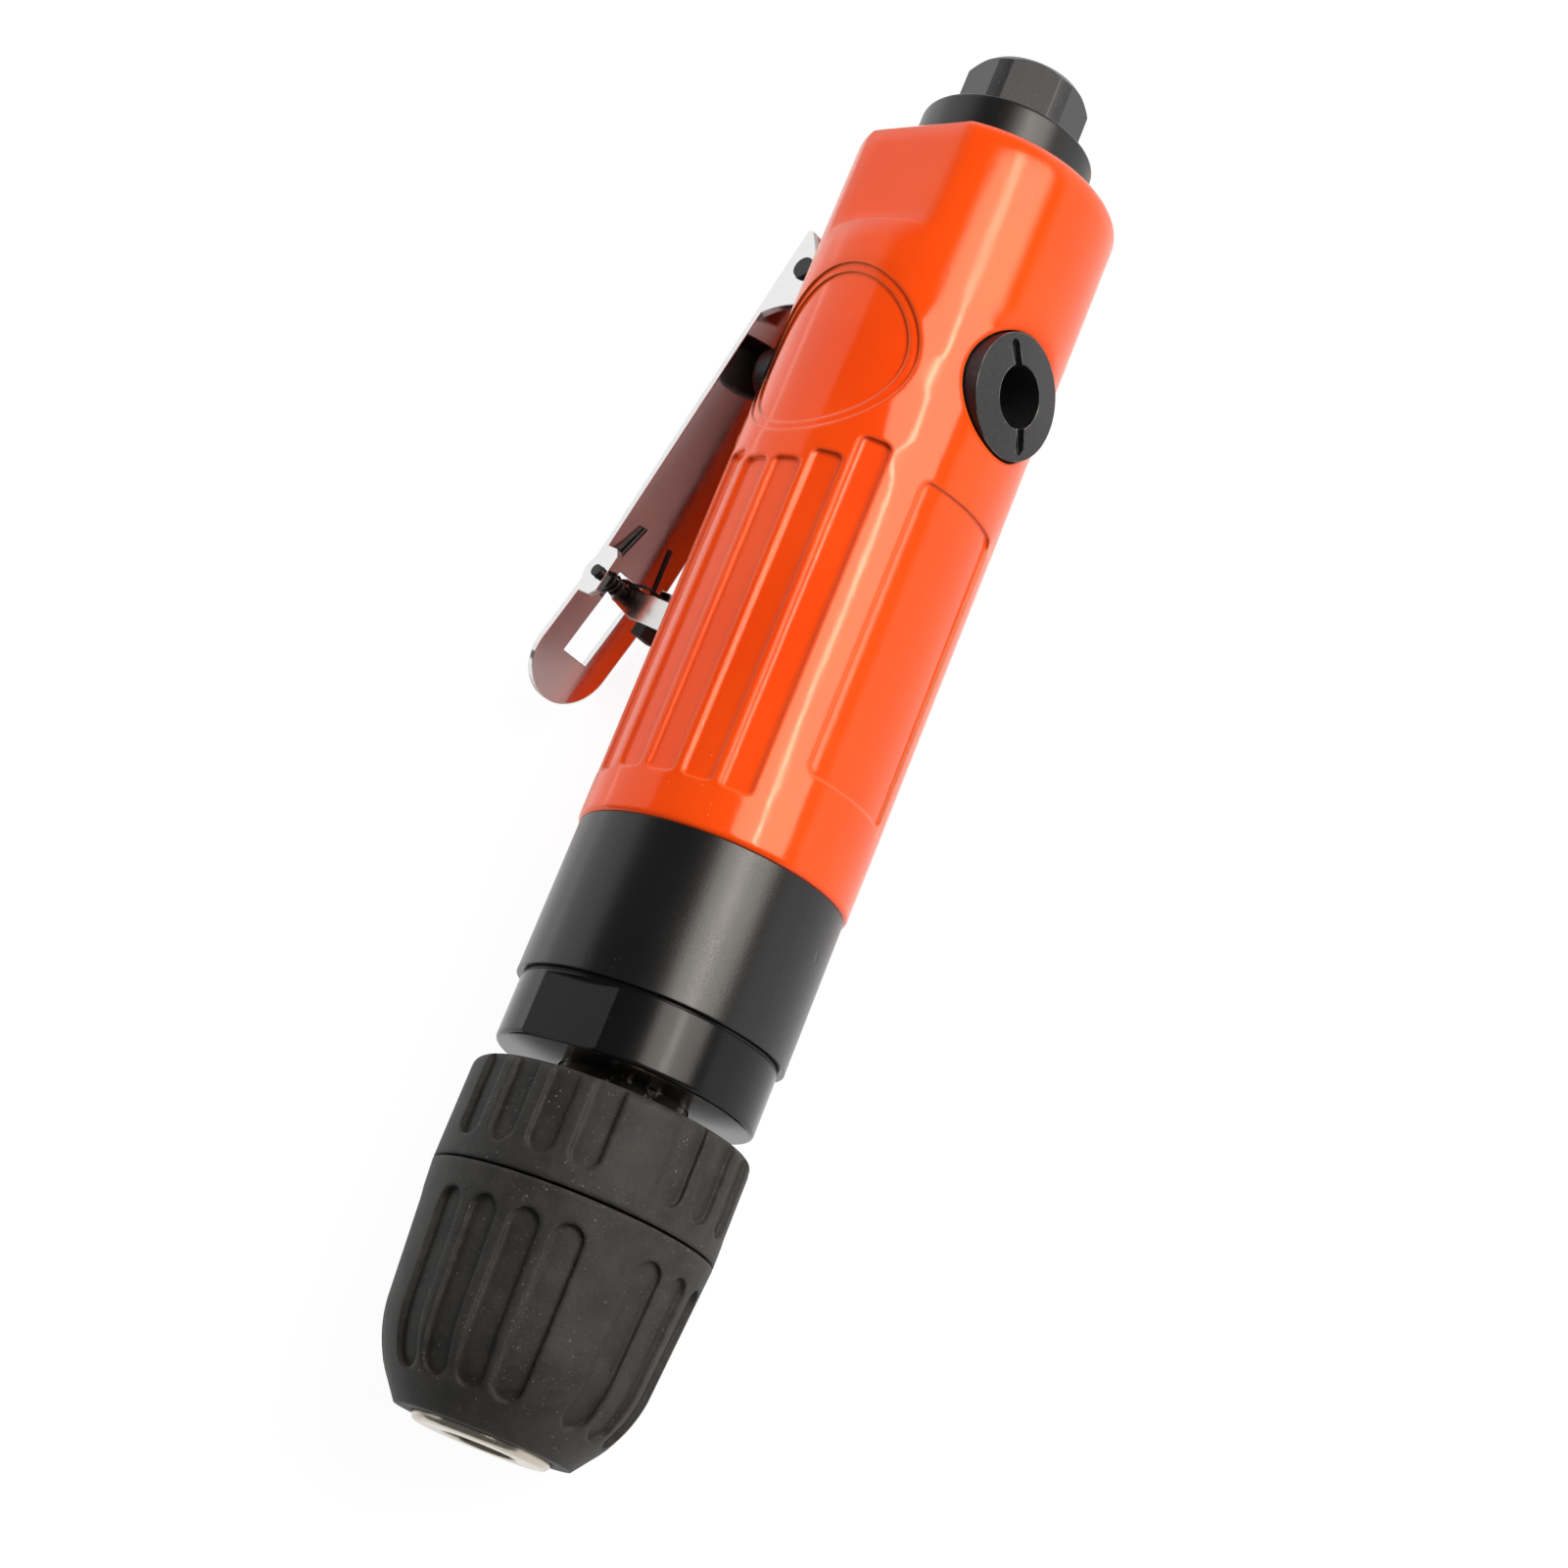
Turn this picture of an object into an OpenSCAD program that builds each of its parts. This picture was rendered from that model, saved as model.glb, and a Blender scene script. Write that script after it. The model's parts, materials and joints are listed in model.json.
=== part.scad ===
// Inline air drill with a keyless chuck, lever throttle and planetary gear stage.
// Modelled with the spindle along X, the chuck mouth at the origin and the lever
// along +Z, then rolled about X until it lies on its side on the bench.

/* [Chuck] */
// Radius of the bright nose ring
nose_r = 9.7; // [9.2:0.1:10.4]
// Radius of the chuck mouth
mouth_r = 5.4; // [5.2:0.05:5.6]
// Length of the plain wall of the mouth
mouth_l = 3.2; // [2.4:0.1:3.4]
// How far the nose stands out of the front sleeve
nose_proud = 1.2; // [0.8:0.1:2.6]
// Length of the front sleeve
front_sleeve_l = 31.1; // [30:0.5:34]
// Radius of the front sleeve at the parting line
sleeve_r = 20.1; // [19:0.1:21]
// Radius of the front sleeve's ball dome
dome_r = 18.7; // [18.4:0.1:19]
// Radius of the front sleeve at its front edge
sleeve_mouth_r = 12.5; // [11.8:0.1:12.8]
// Length of the tapered part of the front sleeve
sleeve_taper_l = 19.2; // [17:0.2:20]
// Length of the rear sleeve
rear_sleeve_l = 14.7; // [14:0.1:17]
// Width of the parting line between the sleeves
split_gap = 0.4; // [0.3:0.05:0.6]
// Width of a grip flute on the sleeves
sleeve_flute_w = 4.2; // [3.4:0.1:4.6]
// Depth of a grip flute on the sleeves
sleeve_flute_d = 0.8; // [0.4:0.05:1.1]
// Radius of a chuck jaw
jaw_r = 2.5; // [2.2:0.05:2.55]
// Length of a chuck jaw along its own axis
jaw_l = 25; // [22:0.5:26]
// Lean of the jaws to the spindle axis
jaw_lean = 15; // [13:0.5:16]

/* [Front end] */
// Gap between chuck and clamp nut, where the spindle collar shows
chuck_gap = 3.2; // [2:0.1:4]
// How far the clamp nut is set in from the gear case
nut_set_in = 0.85; // [0.6:0.05:1.2]
// Length of the clamp nut
nut_l = 9.4; // [9.2:0.1:11]
// Depth of the nut's wrench flats
nut_flat_cut = 1.05; // [0.6:0.05:1.3]
// Turn of the nut's flats from the tool's sides
nut_turn = 9; // [0:1:90]
// How far the gear case is set in from the housing's lip
case_set_in = 0.4; // [0.2:0.05:0.8]
// Visible length of the gear case
case_l = 23.1; // [22.6:0.1:27]

/* [Housing] */
// Radius of the housing at its rear
housing_rear_r = 20.4; // [19:0.1:22]
// How much smaller the housing is at its front lip
housing_taper = 0.4; // [0.2:0.05:0.8]
// Length of the housing
housing_l = 113.9; // [106:0.5:124]
// Wall of the housing round the motor
housing_wall = 2; // [1.8:0.05:2.4]
// Depth of the rear wrench flats
flat_cut = 2.25; // [1.4:0.05:2.5]
// Length of the rear wrench flats
flat_l = 18.7; // [12:0.1:20]
// Radius of the round thumb recess
thumb_r = 14; // [12:0.1:14.4]
// Depth of the thumb recess
thumb_d = 0.7; // [0.3:0.05:0.9]
// Grip flutes on each side
flute_n = 6; // [2:2:6]
// Angle from flute to flute
flute_pitch = 16.5; // [14:0.5:17]
// Width of a grip flute at the surface
flute_w = 5.0; // [4:0.1:5.2]
// Depth of a grip flute
flute_d = 0.65; // [0.3:0.05:0.8]
// Length of the bare sunk panel
panel_l = 45.8; // [30:0.2:46]
// Width of the bare sunk panel
panel_w = 17.2; // [10:0.2:18]
// Depth of the bare sunk panel
panel_d = 0.4; // [0.2:0.05:0.7]

/* [Air inlet] */
// Radius of the rear collar
collar_r = 13.55; // [13.2:0.05:15]
// Length of the rear collar
collar_l = 8.5; // [7:0.1:12]
// Width across the flats of the inlet hexagon
hex_af = 17.8; // [16.8:0.1:18]
// Length of the inlet hexagon
hex_l = 10.5; // [8:0.1:14]
// Turn of the hexagon
hex_turn = 44; // [0:1:60]
// Radius of the inlet thread, quarter inch pipe size
inlet_r = 5.6; // [5:0.05:5.8]
// Depth of the inlet thread
inlet_depth = 14.5; // [10:0.5:16]

/* [Throttle] */
// Width of the lever
lever_w = 14.5; // [13.6:0.1:16]
// Thickness of the lever plate
lever_t = 1.1; // [0.9:0.05:1.2]
// Reach of the lever from its pin to its round tip
lever_reach = 75.6; // [73:0.2:80]
// Rise of the lever above the tool axis direction at rest
lever_rise = 14.8; // [13.8:0.1:16]
// Rise of the lever's front end above its plate
tip_lift = 6; // [4:0.5:8]
// Height of the lever pin above the housing's surface
pivot_lift = 2.6; // [2.4:0.05:3.4]
// Radius of the lever pin
pivot_r = 1.75; // [1.4:0.05:1.9]
// Radius of the throttle plunger
plunger_r = 4.6; // [4:0.05:4.8]
// Radius of the slotted regulator
regulator_r = 9.15; // [9:0.05:9.6]
// Radius of the hole in the regulator
regulator_hole_r = 4.6; // [4.4:0.05:4.8]
// Place of the regulator along the housing, as a share of its length
valve_share = 0.683; // [0.67:0.001:0.69]
// Length of the safety catch below its pin
catch_l = 18.4; // [16:0.1:19]

/* [Motor] */
// Length of the motor cylinder
cylinder_l = 34; // [30:0.2:34]
// Thickness of the motor end plates
end_plate_t = 7; // [6.6:0.1:7]
// Least wall of the motor cylinder on its wide side
cylinder_wall = 4.6; // [4.2:0.05:4.7]
// Offset of the cylinder bore from the rotor axis
chamber_shift = 1.4; // [1.2:0.05:1.45]
// Gap between rotor and cylinder where they come closest
rotor_gap = 0.2; // [0.1:0.05:0.6]
// Number of rotor vanes
vane_n = 5; // [4:1:6]
// Thickness of a vane
vane_t = 1.5; // [1.2:0.1:2]

/* [Gears] */
// Wall of the gear case round the ring gear
spigot_wall = 1.81; // [1.6:0.05:2.4]
// Teeth of the sun pinion
sun_teeth = 9; // [9]
// Teeth of a planet gear
planet_teeth = 18; // [18]
// Width of the planet gears
planet_w = 8; // [5:0.2:8.4]
// Play between meshing flanks
backlash = 0.12; // [0.08:0.01:0.2]

/* [Hidden] */
$fn = 72;

// Clearances: overrun of every cut, room round moving pieces, running and seated fits
over = 0.5;
room = 0.3;
run_fit = 0.05;
seat_fit = 0.02;
// Steps along a rounded edge and along a tooth flank
edge_steps = 6;
flank_steps = 2;

// Radii that follow from the housing
housing_front_r = housing_rear_r - housing_taper;
motor_bore_r = housing_front_r - housing_wall;
flat_d = housing_rear_r - flat_cut;
case_r = housing_front_r - case_set_in;
nut_r = case_r - nut_set_in;
nut_flat = nut_r - nut_flat_cut;
chamber_r = motor_bore_r - cylinder_wall;
rotor_r = chamber_r - chamber_shift - rotor_gap;
pivot_h = housing_rear_r + pivot_lift;

// Stations along X, from the chuck mouth backwards
x_sleeve = -nose_proud;
x_split = x_sleeve - front_sleeve_l;
x_rear_sleeve = x_split - split_gap;
x_chuck_back = x_rear_sleeve - rear_sleeve_l;
x_nut = x_chuck_back - chuck_gap;
x_case = x_nut - nut_l;
x_housing = x_case - case_l;
x_collar = x_housing - housing_l;
x_hex = x_collar - collar_l;
x_end = x_hex - hex_l;
x_valve = x_housing - housing_l * valve_share;
plunger_shift = 3.9;
x_plunger = x_valve - plunger_shift;

// Chuck: body steps behind the nose, jaw axes and the nut groove
nose_edge = 0.8;
jaw_n = 3;
jaw_axis_r = 1.8;
jaw_open_r = 5.5;
jaw_land = 0.87;
jaw_flank = 60;
jaw_wide = 4;
jaw_bore_r = jaw_r + run_fit;
jaw_slope = tan(jaw_lean);
jaw_tip_x = -(jaw_open_r - jaw_axis_r) / jaw_slope;
jaw_back_x = jaw_tip_x - jaw_l * cos(jaw_lean);
mouth_relief = 0.2;
nut_ring_l = 5;
nut_ring_back = 13.6;
nut_ring_x = x_sleeve - nut_ring_back;
nut_ring_r = 15.5;
nut_groove_r = 8;
body_step_r = 15;
body_rear_r = 17;
body_hub_r = 9;
rear_face_sink = 2.2;
sleeve_bore_r = nose_r + room;
stub_r = 4.75;
stub_l = 12.7;

// Front sleeve: where the dome meets the taper and the front cone
x_shoulder = x_split + sleeve_taper_l;
dome_back = 2.5;
dome_x = x_shoulder - dome_back;
mouth_cone_l = 2.5;
dome_steps = 10;
front_flute_start = 4.1;
front_flute_stop = 3.7;
rear_flute_start = 2.8;
slot_low_r = 14;
flute_places = 20;
flute_group = 5;
front_flute_turn = 155;
rear_flute_turn = 149;
rear_sleeve_edge = 1.5;

// Front end: bearing seats in the case, nut lip and thread
nut_lip = 2;
nut_wall = 2.25;
nut_thread_r = nut_r - nut_wall;
nut_edge = 0.6;
case_step = 0.4;
case_wall = 2;
spigot_l = 6.2;
x_spigot = x_housing - spigot_l;

// Ball bearings: bore radius, outer radius, width, balls and the wall of each race
bearing_wall = 2.5;
spindle_bearing_out = nut_thread_r - bearing_wall;
bearing_bore_share = 0.537;
spindle_bearing_r = spindle_bearing_out * bearing_bore_share;
collar_bore_r = spindle_bearing_r;
collar_ring = 1.7;
collar_out_r = collar_bore_r + collar_ring;
nut_hole_r = collar_out_r + room;
spindle_bearing_w = 7;
spindle_ball_n = 11;
motor_bearing_r = 4;
motor_bearing_out = 8;
motor_bearing_w = 5;
motor_ball_n = 9;
race_share = 0.3;
ball_share = 0.28;
spindle_ball_r = (spindle_bearing_out - spindle_bearing_r) * ball_share;
motor_ball_r = (motor_bearing_out - motor_bearing_r) * ball_share;
x_spindle_bearing = x_nut - nut_lip - seat_fit;
x_spindle_shoulder = x_spindle_bearing - spindle_bearing_w;

// Gear stage
ring_teeth = sun_teeth + 2 * planet_teeth;
planet_n = 3;
pressure_angle = 20;
addendum_share = 1;
dedendum_share = 1.25;
ring_wall = 0.75;
gear_module = (motor_bore_r - spigot_wall - ring_wall) / (ring_teeth / 2 + dedendum_share);
sun_pitch_r = gear_module * sun_teeth / 2;
planet_pitch_r = gear_module * planet_teeth / 2;
ring_pitch_r = gear_module * ring_teeth / 2;
planet_orbit = sun_pitch_r + planet_pitch_r;
ring_out = ring_pitch_r + gear_module * dedendum_share + ring_wall;
spigot_bore_r = ring_out - ring_wall;
planet_pin_r = 2;
carrier_r = ring_pitch_r - gear_module * addendum_share - 2 * room;
carrier_t = 3;
carrier_step = 1.7;
carrier_shoulder_r = spindle_bearing_r + carrier_step;
case_hole_gap = 0.8;
case_hole_r = carrier_shoulder_r + case_hole_gap;
carrier_gap = 0.3;
x_carrier = x_spindle_shoulder - case_wall - carrier_gap;
x_planet = x_carrier - carrier_t - room;
ring_margin = 1.4;
x_ring = x_planet + ring_margin;
ring_l = planet_w + 2 * ring_margin;
pin_tail = 0.8;

// Motor stack, from the gear case spigot backwards
x_front_plate = x_spigot;
x_cylinder = x_front_plate - end_plate_t;
x_rear_plate = x_cylinder - cylinder_l;
x_motor_end = x_rear_plate - end_plate_t;
motor_end_gap = 0.2;
shaft_hole_r = 4.6;
rotor_end_play = 0.2;
rotor_neck_r = 3.4;
vane_share = 0.77;
vane_depth = (rotor_r - motor_bearing_r) * vane_share;
vane_play = 0.05;
dowel_r = 1.25;
dowel_wall = 2.4;
dowel_orbit = motor_bore_r - dowel_wall;
dowel_inset = 1.5;
port_n = 5;
port_w = 2.2;
port_pitch_share = 1 / 6;
notch_w = 3.6;
notch_start = 11;
air_port_r = 1.8;
air_port_h = 11.2;

// Housing: edges, flutes, lug, valve and inlet bores
lip_edge = 0.8;
rear_edge = 2;
flute_slope = 45;
flute_corner = 1.4;
flute_front = 6.7;
flute_ring_gap = 4.4;
thumb_share = 0.648;
flat_edge = 1.6;
thumb_step = 1.4;
panel_front = 13.2;
panel_corner = 1.4;
lug_w = lever_w - 2 * lever_t - 2 * room;
lug_r = 2.9;
pivot_share = 0.8472;
x_pivot = x_housing - housing_l * pivot_share;
seat_z = 3;
guide_sink = 10.2;
guide_z = housing_rear_r - guide_sink;
seat_bore_r = 4.2;
chamber_bore_r = 6.5;
chamber_z = -8.5;
regulator_neck_r = 8;
regulator_sink = 4.4;
regulator_seat_z = regulator_sink - housing_rear_r;
regulator_proud = 0.2;
regulator_rim_z = -housing_rear_r - regulator_proud;
regulator_dome = 0.6;
regulator_slot_w = 1.8;
regulator_slot_d = 1.3;
regulator_slot_l = 16.4;
regulator_slot_turn = 144.5;
inlet_feed_r = 3.5;
inlet_feed_z = -2;
shank_r = 8.5;
shank_l = 19;
shank_bore_r = 4.5;
exhaust_r = 2;
exhaust_y = 12;

// Collar and hexagon
collar_edge = 0.7;
collar_wall = 1.2;
collar_end_wall = 1.8;
exhaust_hole_n = 8;
exhaust_hole_r = 0.9;
hex_chamfer = 1.5;
hex_corner_cut = 0.6;
hex_corner_r = hex_af / 2 / cos(30);
hex_turned_r = hex_corner_r - hex_corner_cut;
screen_t = 1.2;
screen_r = 5;
screen_hole_r = 0.6;
screen_orbit = 2.8;
screen_hole_n = 6;

// Lever, in its own frame: pin at zero, plate along +X, outer face up
plate_top = 4.3;
plate_under = plate_top - lever_t;
lever_tail = 6.3;
ear_front = 9.8;
ear_low = 3.2;
ear_r = 3.1;
ear_cove_r = 14;
ear_cove_x = 9.8;
ear_cove_z = 2.5;
ear_cove_start_turn = 169.5;
ear_cove_end_turn = 141;
bend_x = 57;
front_ear_x = 51.5;
front_ear_l = 8.1;
front_ear_low = 4.4;
front_ear_r = 3.5;
catch_pin_x = 55.9;
catch_pin_drop = 2.8;
catch_pin_r = 0.95;
catch_pin_z = plate_top - catch_pin_drop;
catch_pin_proud = 0.9;
window_x = 53.4;
window_l = 14.6;
window_w = 5.4;
pin_proud = 0.6;

// Safety catch, in the lever's frame with its pin at zero
catch_w = 3.8;
catch_back = 1.2;
catch_front = 3.4;
catch_head_r = 2;
catch_neck = 5;
catch_sheet = 0.9;
catch_toe = 3;
pad_drop = 9.6;
pad_l = 2.4;
pad_out = 1.9;

// Catch spring: one wire with a coil on each side of the catch
spring_wire = 0.6;
spring_coil_r = 1.35;
spring_turns = 2.75;
spring_pitch = 1.05;
spring_inner = 2.65;
spring_leg = 10;
spring_toe = 2.4;
spring_drop = 6;
spring_bridge = catch_back + spring_wire / 2 + room;
spring_rings = 8;
spring_sides = 6;

// Plunger, valve and valve spring
plunger_gap = 0.3;
plunger_dome = 1.2;
plunger_travel = 3.2;
plunger_low = guide_z + plunger_travel;
stem_r = 1.8;
stem_low = -2;
seal_r = 0.8;
seal_sink = 2.8;
seal_groove_z = housing_rear_r - seal_sink;
valve_r = 5.2;
valve_t = 3;
plug_t = 3;
plug_z = chamber_z - room - plug_t;
plug_slot_w = 1.2;
plug_slot_d = 1;
valve_coil_r = 3.3;
valve_wire = 0.7;
valve_pitch = 1.5;
neck_seal_r = 0.9;
neck_seal_z = (chamber_z + regulator_seat_z) / 2;
plunger_top = pivot_h + (x_plunger - x_pivot) * tan(lever_rise) + plate_under / cos(lever_rise)
    - plunger_r * tan(lever_rise) - plunger_gap;

// Roll of the tool on the bench: it lies on the housing and the lever's low edge
tip_l = lever_reach - lever_w / 2 - bend_x;
tip_x = bend_x + tip_l * cos(tip_lift);
tip_z = plate_top + tip_l * sin(tip_lift);
tip_h = pivot_h + tip_x * sin(lever_rise) + tip_z * cos(lever_rise);
tip_edge = sqrt(pow(tip_h, 2) + pow(lever_w / 2, 2));
roll = 90 + asin(housing_rear_r / tip_edge) - atan(lever_w / 2 / tip_h);

// Shared shapes

// Lays the tool on its side.
module laid() {
    rotate([roll, 0, 0])
        children();
}

// Turns a list of [x, radius] points about X.
module turned(points) {
    rotate([0, 90, 0])
        rotate_extrude()
            polygon([for (p = points) [p[1], p[0]]]);
}

// Points of a rounded edge, angles in degrees.
function edge(x, y, r, a0, a1) = [for (i = [0:edge_steps])
    let (a = a0 + (a1 - a0) * i / edge_steps) [x + r * cos(a), y + r * sin(a)]];

// A round bar along X from x0 back to x1.
module bar(x0, x1, r) {
    translate([x1, 0, 0])
        rotate([0, 90, 0])
            cylinder(h = x0 - x1, r = r);
}

// A tube along X.
module tube(x0, x1, r_out, r_in) {
    difference() {
        bar(x0, x1, r_out);
        bar(x0 + over, x1 - over, r_in);
    }
}

// A round bar along Y, centred on the XZ plane.
module cross_bar(x, z, r, w) {
    translate([x, w / 2, z])
        rotate([90, 0, 0])
            cylinder(h = w, r = r);
}

// A flat outline in XZ, given thickness along Y from y0 to y1.
module cheek(points, y0, y1) {
    translate([0, y1, 0])
        rotate([90, 0, 0])
            linear_extrude(height = y1 - y0)
                polygon(points);
}

// A rectangle with round corners, centred.
module soft_rect(l, w, r) {
    square([l, w - 2 * r], center = true);
    square([l - 2 * r, w], center = true);
    for (x = [r - l / 2, l / 2 - r], y = [r - w / 2, w / 2 - r])
        translate([x, y])
            circle(r = r);
}

// A slot with full round ends, centred.
module slot(l, w) {
    square([l - w, w], center = true);
    for (x = [w - l, l - w])
        translate([x / 2, 0])
            circle(r = w / 2);
}

// A sunk pocket of rounded outline on a round body: outline seen square on from the
// direction turn, floor concentric with the body.
module pocket(x_mid, l, w, corner, turn, floor_r, out_r) {
    difference() {
        rotate([turn, 0, 0])
            translate([x_mid, 0, 0])
                linear_extrude(height = out_r + over)
                    soft_rect(l, w, corner);
        bar(x_mid + l, x_mid - l, floor_r);
    }
}

// Radius of the housing at a station.
function housing_at(x) = housing_front_r
    + (housing_rear_r - housing_front_r) * (x_housing - x) / housing_l;

// Gear outline: involute flanks between root and tip, one tooth centred on +X.
function involute(angle) = tan(angle) * 180 / PI - angle;
function roll_at(base, r) = r > base ? acos(base / r) : 0;
function half_tooth(n, base, r, slack) =
    90 / n - slack + involute(pressure_angle) - involute(roll_at(base, r));
function gear_points(n, root, tip, slack) =
    let (base = gear_module * n / 2 * cos(pressure_angle))
    [for (k = [0:n - 1]) each concat(
        [for (i = [0:flank_steps])
            let (r = root + (tip - root) * i / flank_steps, a = 360 * k / n
                - half_tooth(n, base, r, slack)) r * [cos(a), sin(a)]],
        [for (i = [flank_steps:-1:0])
            let (r = root + (tip - root) * i / flank_steps, a = 360 * k / n
                + half_tooth(n, base, r, slack)) r * [cos(a), sin(a)]])];

// Extrudes a gear outline along X from x0 back, with the first tooth along +Z.
module gear_bar(points, x0, l, turn = 0) {
    translate([x0 - l, 0, 0])
        rotate([turn, 0, 0])
            rotate([0, 90, 0])
                rotate([0, 0, 180])
                    linear_extrude(height = l)
                        polygon(points);
}

// Slack of a tooth as an angle, from the play at its pitch circle.
function slack_angle(r) = backlash / 2 / r * 180 / PI;

// Races and balls of a deep groove bearing whose front face is at x0.
module race(x0, r0, r1, w, pitch_r, ball_r) {
    rotate([0, 90, 0])
        rotate_extrude()
            difference() {
                translate([r0, x0 - w])
                    square([r1 - r0, w]);
                translate([pitch_r, x0 - w / 2])
                    circle(r = ball_r + run_fit);
            }
}

module outer_race(x0, r_in, r_out, w, ball_r) {
    race(x0, r_out - (r_out - r_in) * race_share, r_out, w, (r_in + r_out) / 2, ball_r);
}

module inner_race(x0, r_in, r_out, w, ball_r) {
    race(x0, r_in, r_in + (r_out - r_in) * race_share, w, (r_in + r_out) / 2, ball_r);
}

module balls(x0, r_in, r_out, w, ball_r, n) {
    for (i = [0:n - 1])
        rotate([360 * i / n, 0, 0])
            translate([x0 - w / 2, 0, (r_in + r_out) / 2])
                sphere(r = ball_r);
}

// A tube of few sides swept along a path, closed at both ends.
function unit(v) = v / norm(v);
function tangent(p, i) = unit(p[min(i + 1, len(p) - 1)] - p[max(i - 1, 0)]);
function carried(side, t) = unit(side - (side * t) * t);
function sides_of(p, first, i = 0, out = []) = i == len(p) ? out
    : let (s = carried(i == 0 ? first : out[i - 1], tangent(p, i)))
        sides_of(p, first, i + 1, concat(out, [s]));

module wire(path, r, n, first) {
    side = sides_of(path, first);
    count = len(path);
    points = [for (i = [0:count - 1])
        let (t = tangent(path, i), other = cross(t, side[i]))
            for (k = [0:n - 1])
                path[i] + r * (cos(360 * k / n) * side[i] + sin(360 * k / n) * other)];
    faces = concat(
        [for (i = [0:count - 2], k = [0:n - 1])
            [i * n + k, (i + 1) * n + k, i * n + (k + 1) % n]],
        [for (i = [0:count - 2], k = [0:n - 1])
            [i * n + (k + 1) % n, (i + 1) * n + k, (i + 1) * n + (k + 1) % n]],
        [for (k = [1:n - 2]) [0, k, k + 1]],
        [for (k = [1:n - 2]) [(count - 1) * n, (count - 1) * n + k + 1, (count - 1) * n + k]]);
    polyhedron(points, faces);
}

// Least distance of a path to itself, apart from its own neighbourhood.
function self_gap(path, skip) = min([for (i = [0:len(path) - 1], j = [0:len(path) - 1])
    if (j - i >= skip) norm(path[i] - path[j])]);

// Places a child from the lever's frame into the tool's.
module on_lever() {
    translate([x_pivot, 0, pivot_h])
        rotate([0, -lever_rise, 0])
            children();
}

// Sub-parts

module housing() {
    color("orangered") laid()
        difference() {
            union() {
                housing_body();
                pivot_lug();
            }
            housing_cuts();
        }
}

module housing_body() {
    turned(concat(
        [[x_housing, 0]],
        edge(x_housing - lip_edge, housing_front_r - lip_edge, lip_edge, 0, 90),
        edge(x_collar + rear_edge, housing_rear_r - rear_edge, rear_edge, 90, 180),
        [[x_collar, 0]]));
}

module pivot_lug() {
    cross_bar(x_pivot, pivot_h, lug_r, lug_w);
    translate([x_pivot - lug_r, -lug_w / 2, motor_bore_r])
        cube([2 * lug_r, lug_w, pivot_h - motor_bore_r]);
}

module housing_cuts() {
    thumb_x = x_housing - housing_l * thumb_share;
    for (side = [-1, 1]) {
        translate([x_collar - over, side > 0 ? flat_d : -flat_d - housing_rear_r, -housing_rear_r])
            cube([flat_l + over, housing_rear_r, 2 * housing_rear_r]);
        translate([x_collar, side * flat_d, 0])
            rotate([0, 0, 45])
                cube([flat_edge, flat_edge, 2 * housing_rear_r], center = true);
        thumb_cut(thumb_x, side, thumb_r, thumb_d / 2);
        thumb_cut(thumb_x, side, thumb_r - thumb_step, thumb_d);
        grip_flutes(thumb_x, side);
    }
    pocket(x_housing - panel_front - panel_l / 2, panel_l, panel_w, panel_corner, 180,
        housing_at(x_housing - panel_front - panel_l / 2) - panel_d, housing_rear_r);
    bar(x_housing + over, x_motor_end - motor_end_gap, motor_bore_r);
    cross_bar(x_pivot, pivot_h, pivot_r + seat_fit, lug_w + over);
    valve_bores();
    inlet_bores();
}

// The round thumb recess: a disc seen from the side, with a concentric floor.
module thumb_cut(x, side, r, depth) {
    difference() {
        translate([x, 0, 0])
            rotate([-90 * side, 0, 0])
                cylinder(h = housing_rear_r + over, r = r);
        bar(x + r + over, x - r - over, housing_at(x) - depth);
    }
}

// Flutes below the thumb recess, their ends following its rim.
module grip_flutes(thumb_x, side) {
    ring = thumb_r + flute_ring_gap;
    front = x_housing - flute_front;
    floor_r = housing_at((front + thumb_x + ring) / 2) - flute_d;
    for (i = [0:flute_n - 1]) {
        turn = (i - (flute_n - 1) / 2) * flute_pitch;
        back = thumb_x + sqrt(pow(ring, 2) - pow(housing_rear_r * sin(turn), 2));
        intersection() {
            pocket((front + back) / 2, front - back, flute_w, flute_corner,
                turn - 90 * side, floor_r, housing_rear_r);
            rotate([turn - 90 * side, 0, 0])
                flute_wedge(front + over, back - over, floor_r);
        }
    }
}

// Sloping long walls of a flute: a wedge that narrows towards the axis.
module flute_wedge(x0, x1, floor_r) {
    half_floor = flute_w / 2 - flute_d * tan(flute_slope);
    depth = flute_w / 2 / tan(flute_slope);
    translate([x1, 0, 0])
        rotate([90, 0, 90])
            linear_extrude(height = x0 - x1)
                polygon([[-half_floor, floor_r], [half_floor, floor_r],
                    [half_floor + depth * tan(flute_slope), floor_r + depth],
                    [-half_floor - depth * tan(flute_slope), floor_r + depth]]);
}

module valve_bores() {
    translate([x_plunger, 0, 0]) {
        translate([0, 0, guide_z - over])
            cylinder(h = housing_rear_r, r = plunger_r + run_fit);
        translate([0, 0, seat_z - over])
            cylinder(h = guide_z - seat_z + over, r = seat_bore_r);
        translate([0, 0, chamber_z - over])
            cylinder(h = seat_z - chamber_z + over, r = chamber_bore_r);
    }
    translate([x_valve, 0, 0]) {
        translate([0, 0, regulator_seat_z - over])
            cylinder(h = chamber_z - regulator_seat_z + over, r = regulator_neck_r + run_fit);
        translate([0, 0, -housing_rear_r - over])
            cylinder(h = housing_rear_r + regulator_seat_z + over, r = regulator_r + room);
    }
    translate([0, 0, air_port_h])
        bar(x_motor_end + over, x_plunger, air_port_r);
}

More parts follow.
